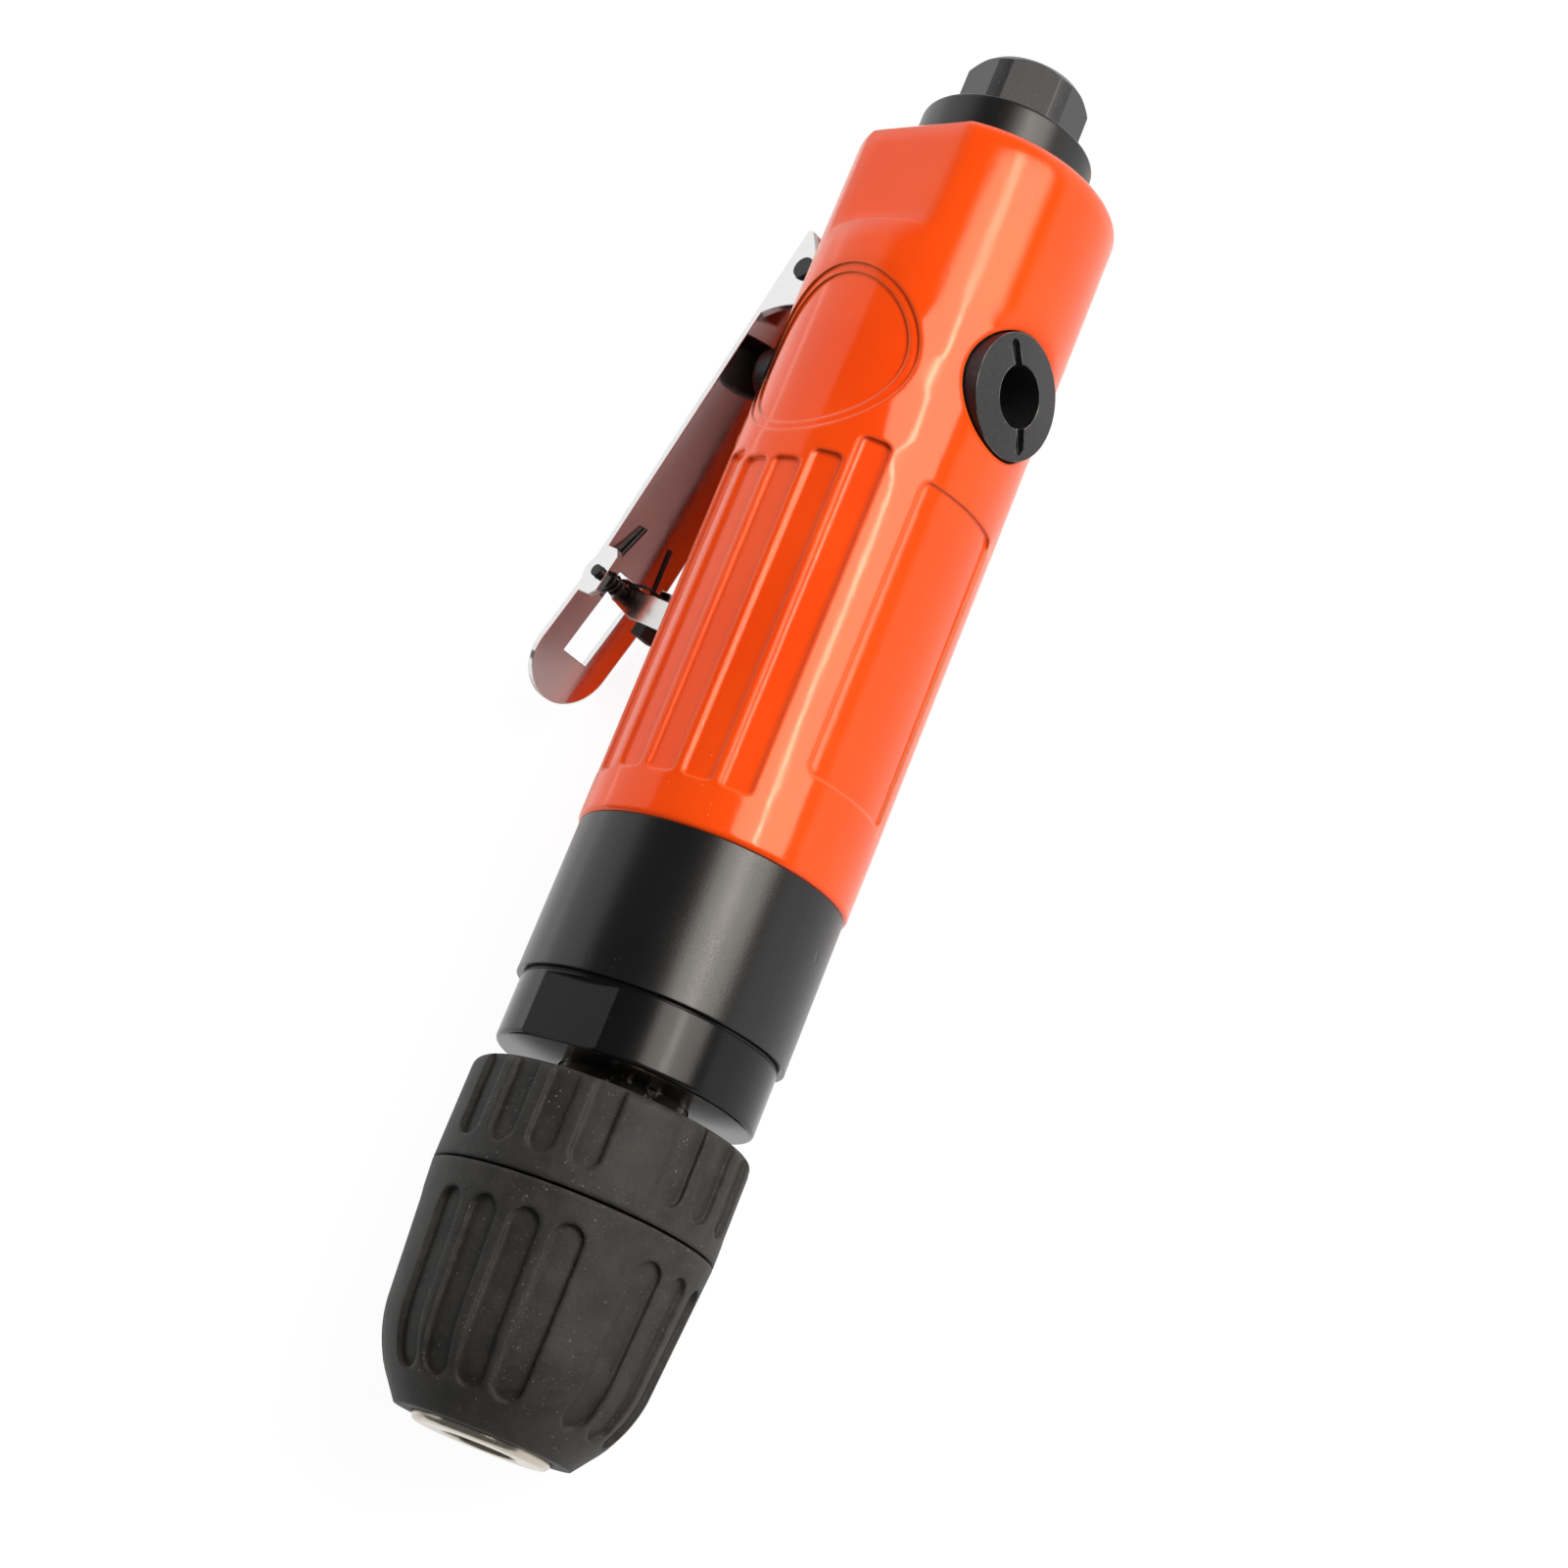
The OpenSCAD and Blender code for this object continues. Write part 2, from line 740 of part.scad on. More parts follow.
module inlet_bores() {
    bar(x_collar + shank_l + room, x_collar - over, shank_r + seat_fit);
    translate([0, 0, inlet_feed_z])
        bar(x_plunger, x_collar + shank_l, inlet_feed_r);
    for (side = [-1, 1])
        translate([0, side * exhaust_y, 0])
            bar(x_motor_end + over, x_collar - over, exhaust_r);
}

module gear_case() {
    color("#1b1b1d") laid()
        difference() {
            turned([[x_nut - nut_lip - room, 0], [x_nut - nut_lip - room, nut_thread_r],
                [x_case, nut_thread_r], [x_case, nut_r - case_step],
                [x_case - case_step, nut_r - case_step], [x_case - case_step, case_r],
                [x_housing, case_r], [x_housing, motor_bore_r - seat_fit],
                [x_spigot, motor_bore_r - seat_fit], [x_spigot, 0]]);
            bar(x_nut, x_spindle_shoulder, spindle_bearing_out + seat_fit);
            bar(x_nut, x_spigot, case_hole_r);
            bar(x_spindle_shoulder - case_wall, x_spigot - over, spigot_bore_r);
            bar(x_ring, x_spigot - over, ring_out + seat_fit);
        }
}

module clamp_nut() {
    color("#17171a") laid()
        rotate([-nut_turn, 0, 0])
            difference() {
                turned(concat(
                    [[x_nut, nut_hole_r]],
                    edge(x_nut - nut_edge, nut_r - nut_edge, nut_edge, 0, 90),
                    [[x_case, nut_r], [x_case, nut_thread_r + seat_fit],
                        [x_nut - nut_lip, nut_thread_r + seat_fit], [x_nut - nut_lip, nut_hole_r]]));
                for (side = [-1, 1])
                    translate([x_case + case_step, side > 0 ? nut_flat : -nut_flat - nut_r, -nut_r])
                        cube([nut_l, nut_r, 2 * nut_r]);
            }
}

module exhaust_collar() {
    hole_orbit = (hex_corner_r + collar_r) / 2;
    color("#232324") laid()
        difference() {
            turned(concat(
                [[x_collar, shank_r + seat_fit], [x_collar, collar_r]],
                edge(x_hex + collar_edge, collar_r - collar_edge, collar_edge, 90, 180),
                [[x_hex, shank_r + seat_fit]]));
            tube(x_collar + over, x_hex + collar_end_wall, collar_r - collar_wall, shank_r + collar_wall);
            for (i = [0:exhaust_hole_n - 1])
                rotate([360 * i / exhaust_hole_n, 0, 0])
                    translate([0, 0, hole_orbit])
                        bar(x_collar, x_hex - over, exhaust_hole_r);
        }
}

module inlet_bushing() {
    x_front = x_collar + shank_l;
    color("#2b2c2f") laid()
        difference() {
            union() {
                bar(x_front, x_hex - over, shank_r);
                intersection() {
                    translate([x_end, 0, 0])
                        rotate([-hex_turn, 0, 0])
                            rotate([0, 90, 0])
                                cylinder(h = hex_l, r = hex_corner_r, $fn = 6);
                    turned([[x_hex, 0], [x_hex, hex_turned_r], [x_end + hex_chamfer, hex_turned_r],
                        [x_end, hex_turned_r - hex_chamfer], [x_end, 0]]);
                }
            }
            bar(x_end + inlet_depth, x_end - over, inlet_r);
            bar(x_front + over, x_end, shank_bore_r);
            bar(x_front + over, x_front - screen_t, screen_r + seat_fit);
        }
}

module inlet_screen() {
    x_front = x_collar + shank_l;
    color("#b9a36a") laid()
        difference() {
            bar(x_front, x_front - screen_t, screen_r);
            bar(x_front + over, x_front - screen_t - over, screen_hole_r);
            for (i = [0:screen_hole_n - 1])
                rotate([360 * i / screen_hole_n, 0, 0])
                    translate([0, 0, screen_orbit])
                        bar(x_front + over, x_front - screen_t - over, screen_hole_r);
        }
}

module dowel_hole() {
    translate([0, 0, dowel_orbit])
        bar(x_front_plate - dowel_inset, x_motor_end + dowel_inset, dowel_r + seat_fit);
}

module locating_pin() {
    color("#8d8f94") laid()
        translate([0, 0, dowel_orbit])
            bar(x_front_plate - dowel_inset - seat_fit, x_motor_end + dowel_inset + seat_fit, dowel_r);
}

module cylinder_ports() {
    for (i = [0:port_n - 1], side = [-1, 1])
        translate([x_cylinder - cylinder_l * (i + 1) * port_pitch_share, side * chamber_r / 2, 0])
            rotate([-90 * side, 0, 0])
                cylinder(h = motor_bore_r, r = port_w / 2);
}

module cylinder_notches() {
    for (side = [-1, 1])
        translate([x_rear_plate - over,
                   side > 0 ? chamber_r + chamber_shift + over : -motor_bore_r,
                   -notch_w / 2])
            cube([cylinder_l, motor_bore_r - chamber_r - chamber_shift - over, notch_w]);
}

module motor_cylinder() {
    color("#9a9da1") laid()
        difference() {
            bar(x_cylinder, x_rear_plate, motor_bore_r - seat_fit);
            translate([0, 0, -chamber_shift])
                bar(x_cylinder + over, x_rear_plate - over, chamber_r);
            cylinder_ports();
            cylinder_notches();
            dowel_hole();
        }
}

module front_end_plate() {
    color("#a5a7aa") laid()
        difference() {
            bar(x_front_plate, x_cylinder, motor_bore_r - seat_fit);
            bar(x_front_plate + over, x_front_plate - motor_bearing_w, motor_bearing_out + seat_fit);
            bar(x_front_plate, x_cylinder - over, shaft_hole_r);
            dowel_hole();
        }
}

module rear_end_plate() {
    color("#a5a7aa") laid()
        difference() {
            bar(x_rear_plate, x_motor_end, motor_bore_r - seat_fit);
            bar(x_motor_end + motor_bearing_w, x_motor_end - over, motor_bearing_out + seat_fit);
            bar(x_rear_plate + over, x_motor_end, shaft_hole_r);
            translate([0, 0, air_port_h])
                bar(x_rear_plate + over, x_motor_end - over, air_port_r);
            for (side = [-1, 1])
                translate([x_motor_end - over, side > 0 ? notch_start : -motor_bore_r, -notch_w / 2])
                    cube([end_plate_t + 2 * over, motor_bore_r - notch_start, notch_w]);
            dowel_hole();
        }
}

module vane_slots(t, depth, l, x0) {
    for (i = [0:vane_n - 1])
        rotate([360 * i / vane_n, 0, 0])
            translate([x0 - l, -t / 2, rotor_r - depth])
                cube([l, t, depth + over]);
}

module rotor() {
    x_body = x_cylinder - rotor_end_play;
    color("#7d8086") laid()
        difference() {
            union() {
                gear_bar(gear_points(sun_teeth, sun_pitch_r - gear_module * dedendum_share,
                    sun_pitch_r + gear_module * addendum_share, slack_angle(sun_pitch_r)),
                    x_planet, planet_w + ring_margin);
                bar(x_planet - planet_w - ring_margin, x_front_plate, rotor_neck_r);
                bar(x_front_plate, x_motor_end + room, motor_bearing_r - seat_fit);
                bar(x_body, x_rear_plate + rotor_end_play, rotor_r);
            }
            vane_slots(vane_t + 2 * vane_play, vane_depth, cylinder_l + 2 * over, x_cylinder + over);
        }
}

module vanes() {
    color("#8a5a33") laid()
        intersection() {
            vane_slots(vane_t, vane_depth - 2 * vane_play, cylinder_l - 2 * rotor_end_play,
                x_cylinder - rotor_end_play);
            bar(x_cylinder, x_rear_plate, rotor_r - vane_play);
        }
}

module front_bearing_outer_race() {
    color("#c3c6ca") laid()
        outer_race(x_front_plate, motor_bearing_r, motor_bearing_out, motor_bearing_w, motor_ball_r);
}

module front_bearing_inner_race() {
    color("#c3c6ca") laid()
        inner_race(x_front_plate, motor_bearing_r, motor_bearing_out, motor_bearing_w, motor_ball_r);
}

module front_bearing_balls() {
    color("#e1e3e6") laid()
        balls(x_front_plate, motor_bearing_r, motor_bearing_out, motor_bearing_w, motor_ball_r,
            motor_ball_n);
}

module rear_bearing_outer_race() {
    color("#c3c6ca") laid()
        outer_race(x_motor_end + motor_bearing_w, motor_bearing_r, motor_bearing_out, motor_bearing_w,
            motor_ball_r);
}

module rear_bearing_inner_race() {
    color("#c3c6ca") laid()
        inner_race(x_motor_end + motor_bearing_w, motor_bearing_r, motor_bearing_out, motor_bearing_w,
            motor_ball_r);
}

module rear_bearing_balls() {
    color("#e1e3e6") laid()
        balls(x_motor_end + motor_bearing_w, motor_bearing_r, motor_bearing_out, motor_bearing_w,
            motor_ball_r, motor_ball_n);
}

module spindle_bearing_outer_race() {
    color("#c3c6ca") laid()
        outer_race(x_spindle_bearing, spindle_bearing_r, spindle_bearing_out, spindle_bearing_w,
            spindle_ball_r);
}

module spindle_bearing_inner_race() {
    color("#c3c6ca") laid()
        inner_race(x_spindle_bearing, spindle_bearing_r, spindle_bearing_out, spindle_bearing_w,
            spindle_ball_r);
}

module spindle_bearing_balls() {
    color("#e1e3e6") laid()
        balls(x_spindle_bearing, spindle_bearing_r, spindle_bearing_out, spindle_bearing_w,
            spindle_ball_r, spindle_ball_n);
}

module ring_gear() {
    color("#74777c") laid()
        difference() {
            bar(x_ring, x_spigot, ring_out);
            bar(x_ring - ring_l, x_spigot - over, spigot_bore_r - room);
            gear_bar(gear_points(ring_teeth, ring_pitch_r - gear_module * addendum_share,
                ring_pitch_r + gear_module * dedendum_share, -slack_angle(ring_pitch_r)),
                x_ring + over, ring_l + over, 180 / ring_teeth);
        }
}

// A planet sits in the orbit at its own place, turned so that its teeth mesh.
module planet(i) {
    place = 360 * i / planet_n;
    color("#8b8e93") laid()
        rotate([place, 0, 0])
            translate([0, 0, planet_orbit])
                difference() {
                    gear_bar(gear_points(planet_teeth, planet_pitch_r - gear_module * dedendum_share,
                        planet_pitch_r + gear_module * addendum_share, slack_angle(planet_pitch_r)),
                        x_planet, planet_w, 180 / planet_teeth);
                    bar(x_planet + over, x_planet - planet_w - over, planet_pin_r + run_fit);
                }
}

module planet_gear_1() { planet(0); }
module planet_gear_2() { planet(1); }
module planet_gear_3() { planet(2); }

module planet_pins() {
    color("#c9ccd0") laid()
        for (i = [0:planet_n - 1])
            rotate([360 * i / planet_n, 0, 0])
                translate([0, 0, planet_orbit])
                    bar(x_carrier, x_planet - planet_w - pin_tail, planet_pin_r);
}

module spindle() {
    color("#6e6a64") laid()
        difference() {
            turned([[x_chuck_back + stub_l, 0], [x_chuck_back + stub_l, stub_r - seat_fit],
                [x_chuck_back, stub_r - seat_fit], [x_chuck_back, spindle_bearing_r - seat_fit],
                [x_spindle_shoulder, spindle_bearing_r - seat_fit],
                [x_spindle_shoulder, carrier_shoulder_r], [x_carrier, carrier_shoulder_r],
                [x_carrier, carrier_r], [x_carrier - carrier_t, carrier_r], [x_carrier - carrier_t, 0]]);
            for (i = [0:planet_n - 1])
                rotate([360 * i / planet_n, 0, 0])
                    translate([0, 0, planet_orbit])
                        bar(x_carrier + over, x_carrier - carrier_t - over, planet_pin_r + seat_fit);
        }
}

module spindle_collar() {
    color("#6b5c4a") laid()
        tube(x_chuck_back - seat_fit, x_spindle_bearing + seat_fit, collar_out_r, collar_bore_r);
}

// Places a child on the axis of jaw i, whose own axis is +X and passes the mouth plane at zero.
module on_jaw(i) {
    rotate([360 * i / jaw_n, 0, 0])
        translate([0, 0, jaw_axis_r])
            rotate([0, jaw_lean, 0])
                children();
}

module chuck_body() {
    x_step = nut_ring_x - nut_ring_l - room;
    x_face = x_chuck_back + rear_face_sink;
    color("#b8bbbf") laid()
        difference() {
            turned(concat(
                [[0, 0]],
                edge(-nose_edge, nose_r - nose_edge, nose_edge, 0, 90),
                [[nut_ring_x + room, nose_r], [nut_ring_x + room, nut_groove_r],
                    [x_step, nut_groove_r], [x_step, body_step_r],
                    [x_rear_sleeve - room, body_step_r], [x_rear_sleeve - room, body_rear_r],
                    [x_face, body_rear_r], [x_face, body_hub_r], [x_chuck_back, body_hub_r],
                    [x_chuck_back, 0]]));
            bar(over, -mouth_l - over, mouth_r);
            bar(-mouth_l, x_chuck_back + stub_l + room, mouth_r + mouth_relief);
            bar(x_chuck_back + stub_l + over, x_chuck_back - over, stub_r);
            for (i = [0:jaw_n - 1])
                on_jaw(i)
                    bar(-mouth_l / cos(jaw_lean), jaw_back_x / cos(jaw_lean) - room, jaw_bore_r);
        }
}

module chuck_nut() {
    x1 = nut_ring_x - nut_ring_l;
    gap = jaw_r / cos(jaw_lean) + run_fit;
    color("#8f9297") laid()
        turned([[nut_ring_x, jaw_axis_r - nut_ring_x * jaw_slope + gap], [nut_ring_x, nut_ring_r],
            [x1, nut_ring_r], [x1, jaw_axis_r - x1 * jaw_slope + gap]]);
}

// One jaw, drawn open: a leaning rod whose inner side is a wedge with a narrow gripping land.
module jaw(i) {
    spread = jaw_wide * tan(90 - jaw_flank);
    color("#a9acb1") laid()
        intersection() {
            on_jaw(i)
                bar(over, jaw_back_x / cos(jaw_lean), jaw_r);
            rotate([360 * i / jaw_n, 0, 0])
                translate([jaw_back_x - over - jaw_r, 0, 0])
                    rotate([90, 0, 90])
                        linear_extrude(height = jaw_tip_x - jaw_back_x + jaw_r + over)
                            polygon([[-jaw_land, jaw_open_r], [jaw_land, jaw_open_r],
                                [jaw_land + jaw_wide, jaw_open_r + spread],
                                [jaw_land + jaw_wide, body_rear_r],
                                [-jaw_land - jaw_wide, body_rear_r],
                                [-jaw_land - jaw_wide, jaw_open_r + spread]]);
        }
}

module chuck_jaw_1() { jaw(0); }
module chuck_jaw_2() { jaw(1); }
module chuck_jaw_3() { jaw(2); }

// Solid shape of the front sleeve, set in by cut: a taper, a ball dome and a short front cone.
module sleeve_shape(cut) {
    turned(concat(
        [[x_sleeve, 0], [x_sleeve, sleeve_mouth_r - cut]],
        [for (i = [0:dome_steps])
            let (x = x_sleeve - mouth_cone_l + (x_shoulder - x_sleeve + mouth_cone_l) * i / dome_steps)
                [x, sqrt(pow(dome_r, 2) - pow(x - dome_x, 2)) - cut]],
        [[x_split, sleeve_r - cut], [x_split, 0]]));
}

// Slots on a sleeve, in groups with a plain land after each group.
module sleeve_slots(x0, x1, turn) {
    for (i = [0:flute_places - 1])
        if (i % flute_group > 0)
            rotate([-turn - 360 * i / flute_places, 0, 0])
                translate([(x0 + x1) / 2, 0, slot_low_r])
                    linear_extrude(height = sleeve_r - slot_low_r + over)
                        slot(x0 - x1, sleeve_flute_w);
}

module front_sleeve() {
    color("#2a2a2b") laid()
        difference() {
            sleeve_shape(0);
            bar(x_sleeve + over, x_split - over, sleeve_bore_r);
            bar(nut_ring_x + seat_fit, x_split - over, nut_ring_r + seat_fit);
            difference() {
                sleeve_slots(x_sleeve - front_flute_start, x_split + front_flute_stop, front_flute_turn);
                sleeve_shape(sleeve_flute_d);
            }
        }
}

module rear_sleeve() {
    r = sleeve_r;
    color("#29292a") laid()
        difference() {
            turned(concat(
                [[x_rear_sleeve, body_rear_r + seat_fit], [x_rear_sleeve, r]],
                edge(x_chuck_back + rear_sleeve_edge, r - rear_sleeve_edge, rear_sleeve_edge, 90, 180),
                [[x_chuck_back, body_rear_r + seat_fit]]));
            difference() {
                sleeve_slots(x_rear_sleeve - rear_flute_start, x_chuck_back - sleeve_flute_w,
                    rear_flute_turn);
                bar(x_rear_sleeve, x_chuck_back - over - sleeve_flute_w, r - sleeve_flute_d);
            }
        }
}

module throttle_lever() {
    color("#d9dadc") laid()
        on_lever()
            difference() {
                union() {
                    translate([-lever_tail, -lever_w / 2, plate_under])
                        cube([bend_x + lever_tail, lever_w, lever_t]);
                    translate([bend_x, 0, plate_under])
                        rotate([0, -tip_lift, 0])
                            lever_tip();
                    for (y = [-lever_w / 2, lever_w / 2 - lever_t]) {
                        rear_ear(y);
                        front_ear(y);
                    }
                }
                translate([window_x, -window_w / 2, plate_under - over])
                    cube([window_l, window_w, plate_top]);
                cross_bar(0, 0, pivot_r + run_fit, lever_w + over);
                cross_bar(catch_pin_x, catch_pin_z, catch_pin_r + seat_fit, lever_w + over);
            }
}

// The lever's front end, bent away from the housing.
module lever_tip() {
    translate([0, -lever_w / 2, 0])
        cube([tip_l, lever_w, lever_t]);
    translate([tip_l, 0, 0])
        cylinder(h = lever_t, r = lever_w / 2);
}

// A rear ear, round about the pin and hollowed at the front.
module rear_ear(y) {
    cheek(concat(
        [[ear_front, plate_top], [-lever_tail, plate_top], [-lever_tail, plate_under], [-ear_r, 0],
            [0, -ear_low]],
        edge(ear_front + ear_cove_x, -ear_low - ear_cove_z, ear_cove_r,
            ear_cove_start_turn, ear_cove_end_turn)),
        y, y + lever_t);
    translate([0, y + lever_t / 2, 0])
        cross_bar(0, 0, ear_r, lever_t);
}

// A front ear, whose back is arched over the catch pin.
module front_ear(y) {
    low = plate_top - front_ear_low;
    arch = asin(catch_pin_drop / front_ear_r);
    cheek(concat(
        [[front_ear_x, plate_top], [front_ear_x, low + lever_t], [front_ear_x + lever_t, low],
            [front_ear_x + front_ear_l - lever_t, low], [front_ear_x + front_ear_l, low + lever_t],
            [front_ear_x + front_ear_l, plate_top]],
        edge(catch_pin_x, catch_pin_z, front_ear_r, arch, 180 - arch)),
        y, y + lever_t);
}

module lever_pin() {
    color("#1d1d1f") laid()
        cross_bar(x_pivot, pivot_h, pivot_r, lever_w + 2 * pin_proud);
}

module catch_pin() {
    color("#1d1d1f") laid()
        on_lever()
            cross_bar(catch_pin_x, catch_pin_z, catch_pin_r, lever_w + 2 * catch_pin_proud);
}

// A folded channel: two cheeks on the pin, joined by a web along the front.
module safety_catch() {
    outline = [[-catch_head_r, 0], [-catch_back, -catch_neck], [-catch_back, catch_toe - catch_l],
        [catch_toe - catch_back, -catch_l], [catch_front, -catch_l], [catch_front, -catch_neck],
        [catch_head_r, 0]];
    color("#c9cacc") laid()
        on_lever()
            translate([catch_pin_x, 0, catch_pin_z])
                difference() {
                    union() {
                        cheek(outline, -catch_w / 2, catch_w / 2);
                        cross_bar(0, 0, catch_head_r, catch_w);
                    }
                    translate([-catch_head_r - over, catch_sheet - catch_w / 2, -catch_l - over])
                        cube([catch_head_r + over + catch_front - catch_sheet,
                            catch_w - 2 * catch_sheet, catch_l + catch_head_r + 2 * over]);
                    cross_bar(0, 0, catch_pin_r + run_fit, catch_w + over);
                }
}

module catch_pad() {
    color("#151516") laid()
        on_lever()
            translate([catch_pin_x + catch_front, -catch_w / 2, catch_pin_z - pad_drop])
                cube([pad_out, catch_w, pad_l]);
}

// Half of the wire, from the leg's end on the lever to the middle of the bridge.
function catch_wire(side) = concat(
    [[-spring_leg, side * (spring_inner + spring_turns * spring_pitch - spring_toe), spring_coil_r],
        [-spring_leg / 2,
            side * (spring_inner + spring_turns * spring_pitch - spring_toe / 2),
            spring_coil_r]],
    [for (i = [0:spring_turns * spring_rings])
        let (a = 90 - 360 * i / spring_rings, y = spring_inner
            + (spring_turns - i / spring_rings) * spring_pitch)
            [spring_coil_r * cos(a), side * y, spring_coil_r * sin(a)]],
    [[-spring_coil_r, side * spring_inner, -spring_drop / 2],
        [-spring_bridge, side * spring_inner, spring_wire - spring_drop],
        [-spring_bridge, side * (spring_inner - spring_wire), -spring_drop]]);
function reversed(list) = [for (i = [len(list) - 1:-1:0]) list[i]];
catch_path = concat(catch_wire(1), reversed(catch_wire(-1)));
echo(catch_spring_gap = self_gap(catch_path, spring_rings / 2 + 1) - spring_wire);

module catch_spring() {
    color("#161617") laid()
        on_lever()
            translate([catch_pin_x, 0, catch_pin_z])
                wire(catch_path, spring_wire / 2, spring_sides, [0, 1, 0]);
}

module throttle_plunger() {
    color("#19191b") laid()
        translate([x_plunger, 0, 0])
            rotate_extrude() {
                polygon([[0, stem_low], [stem_r, stem_low], [stem_r, plunger_low], [plunger_r, plunger_low],
                    [plunger_r, seal_groove_z - seal_r], [plunger_r - seal_r, seal_groove_z - seal_r],
                    [plunger_r - seal_r, seal_groove_z + seal_r], [plunger_r, seal_groove_z + seal_r],
                    [plunger_r, plunger_top - plunger_dome], [plunger_r - plunger_dome, plunger_top],
                    [0, plunger_top]]);
                translate([plunger_r - plunger_dome, plunger_top - plunger_dome])
                    circle(r = plunger_dome);
            }
}

module plunger_seal() {
    color("#111112") laid()
        translate([x_plunger, 0, seal_groove_z])
            rotate_extrude()
                translate([plunger_r - seal_r / 2, 0])
                    circle(r = seal_r / 2);
}

module throttle_valve() {
    color("#b08d46") laid()
        translate([x_plunger, 0, 0])
            rotate_extrude()
                polygon([[stem_r + seat_fit, stem_low], [valve_r, stem_low],
                    [valve_r, stem_low + valve_t], [seat_bore_r - room, seat_z - room],
                    [stem_r + seat_fit, seat_z - room]]);
}

valve_spring_l = stem_low - plug_z - plug_t - 2 * seat_fit;
valve_turns = floor(valve_spring_l / valve_pitch);
valve_path = [for (i = [0:valve_turns * spring_rings])
    [valve_coil_r * cos(360 * i / spring_rings), valve_coil_r * sin(360 * i / spring_rings),
        valve_wire / 2 + (valve_spring_l - valve_wire) * i / valve_turns / spring_rings]];
echo(valve_spring_gap = self_gap(valve_path, spring_rings / 2 + 1) - valve_wire);

module valve_spring() {
    color("#9b9ea3") laid()
        translate([x_plunger, 0, plug_z + plug_t + seat_fit])
            wire(valve_path, valve_wire / 2, spring_sides, [1, 0, 0]);
}

module valve_plug() {
    color("#202124") laid()
        translate([x_valve, 0, plug_z])
            difference() {
                cylinder(h = plug_t, r = regulator_hole_r - seat_fit);
                translate([-regulator_hole_r, -plug_slot_w / 2, -over])
                    cube([2 * regulator_hole_r, plug_slot_w, plug_slot_d + over]);
            }
}

module regulator() {
    color("#26272a") laid()
        translate([x_valve, 0, 0])
            difference() {
                rotate_extrude()
                    polygon([[regulator_hole_r, chamber_z - room], [regulator_neck_r, chamber_z - room],
                        [regulator_neck_r, neck_seal_z + neck_seal_r],
                        [regulator_neck_r - neck_seal_r, neck_seal_z + neck_seal_r],
                        [regulator_neck_r - neck_seal_r, neck_seal_z - neck_seal_r],
                        [regulator_neck_r, neck_seal_z - neck_seal_r],
                        [regulator_neck_r, regulator_seat_z - room],
                        [regulator_r, regulator_seat_z - room], [regulator_r, regulator_rim_z],
                        [regulator_hole_r, regulator_rim_z - regulator_dome]]);
                rotate([0, 0, regulator_slot_turn])
                    translate([0, 0, regulator_rim_z - regulator_dome - over])
                        linear_extrude(height = regulator_slot_d + over)
                            slot(regulator_slot_l, regulator_slot_w);
            }
}

module regulator_seal() {
    color("#111112") laid()
        translate([x_valve, 0, neck_seal_z])
            rotate_extrude()
                translate([regulator_neck_r - neck_seal_r / 2, 0])
                    circle(r = neck_seal_r / 2);
}

housing();
gear_case();
clamp_nut();
exhaust_collar();
inlet_bushing();
inlet_screen();
motor_cylinder();
front_end_plate();
rear_end_plate();
locating_pin();
rotor();
vanes();
front_bearing_outer_race();
front_bearing_inner_race();
front_bearing_balls();
rear_bearing_outer_race();
rear_bearing_inner_race();
rear_bearing_balls();
spindle_bearing_outer_race();
spindle_bearing_inner_race();
spindle_bearing_balls();
ring_gear();
planet_gear_1();
planet_gear_2();
planet_gear_3();
planet_pins();
spindle();
spindle_collar();
chuck_body();
chuck_nut();
chuck_jaw_1();
chuck_jaw_2();
chuck_jaw_3();
front_sleeve();
rear_sleeve();
throttle_lever();
lever_pin();
safety_catch();
catch_pad();
catch_pin();
catch_spring();
throttle_plunger();
plunger_seal();
throttle_valve();
valve_spring();
valve_plug();
regulator();
regulator_seal();
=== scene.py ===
# %% [markdown]
# # An air drill on a white table
# The drill comes in as a packed assembly: every solid already sits in its place and on its joint.
# It could be modelled again here, but the solids are exact, so this lesson only dresses them. First
# the frame is loaded and its box is kept, because nothing that is added later may make the tool
# larger than its solids.

# %% Load the drill
import json
import math

import bpy
from mathutils import Matrix, Vector


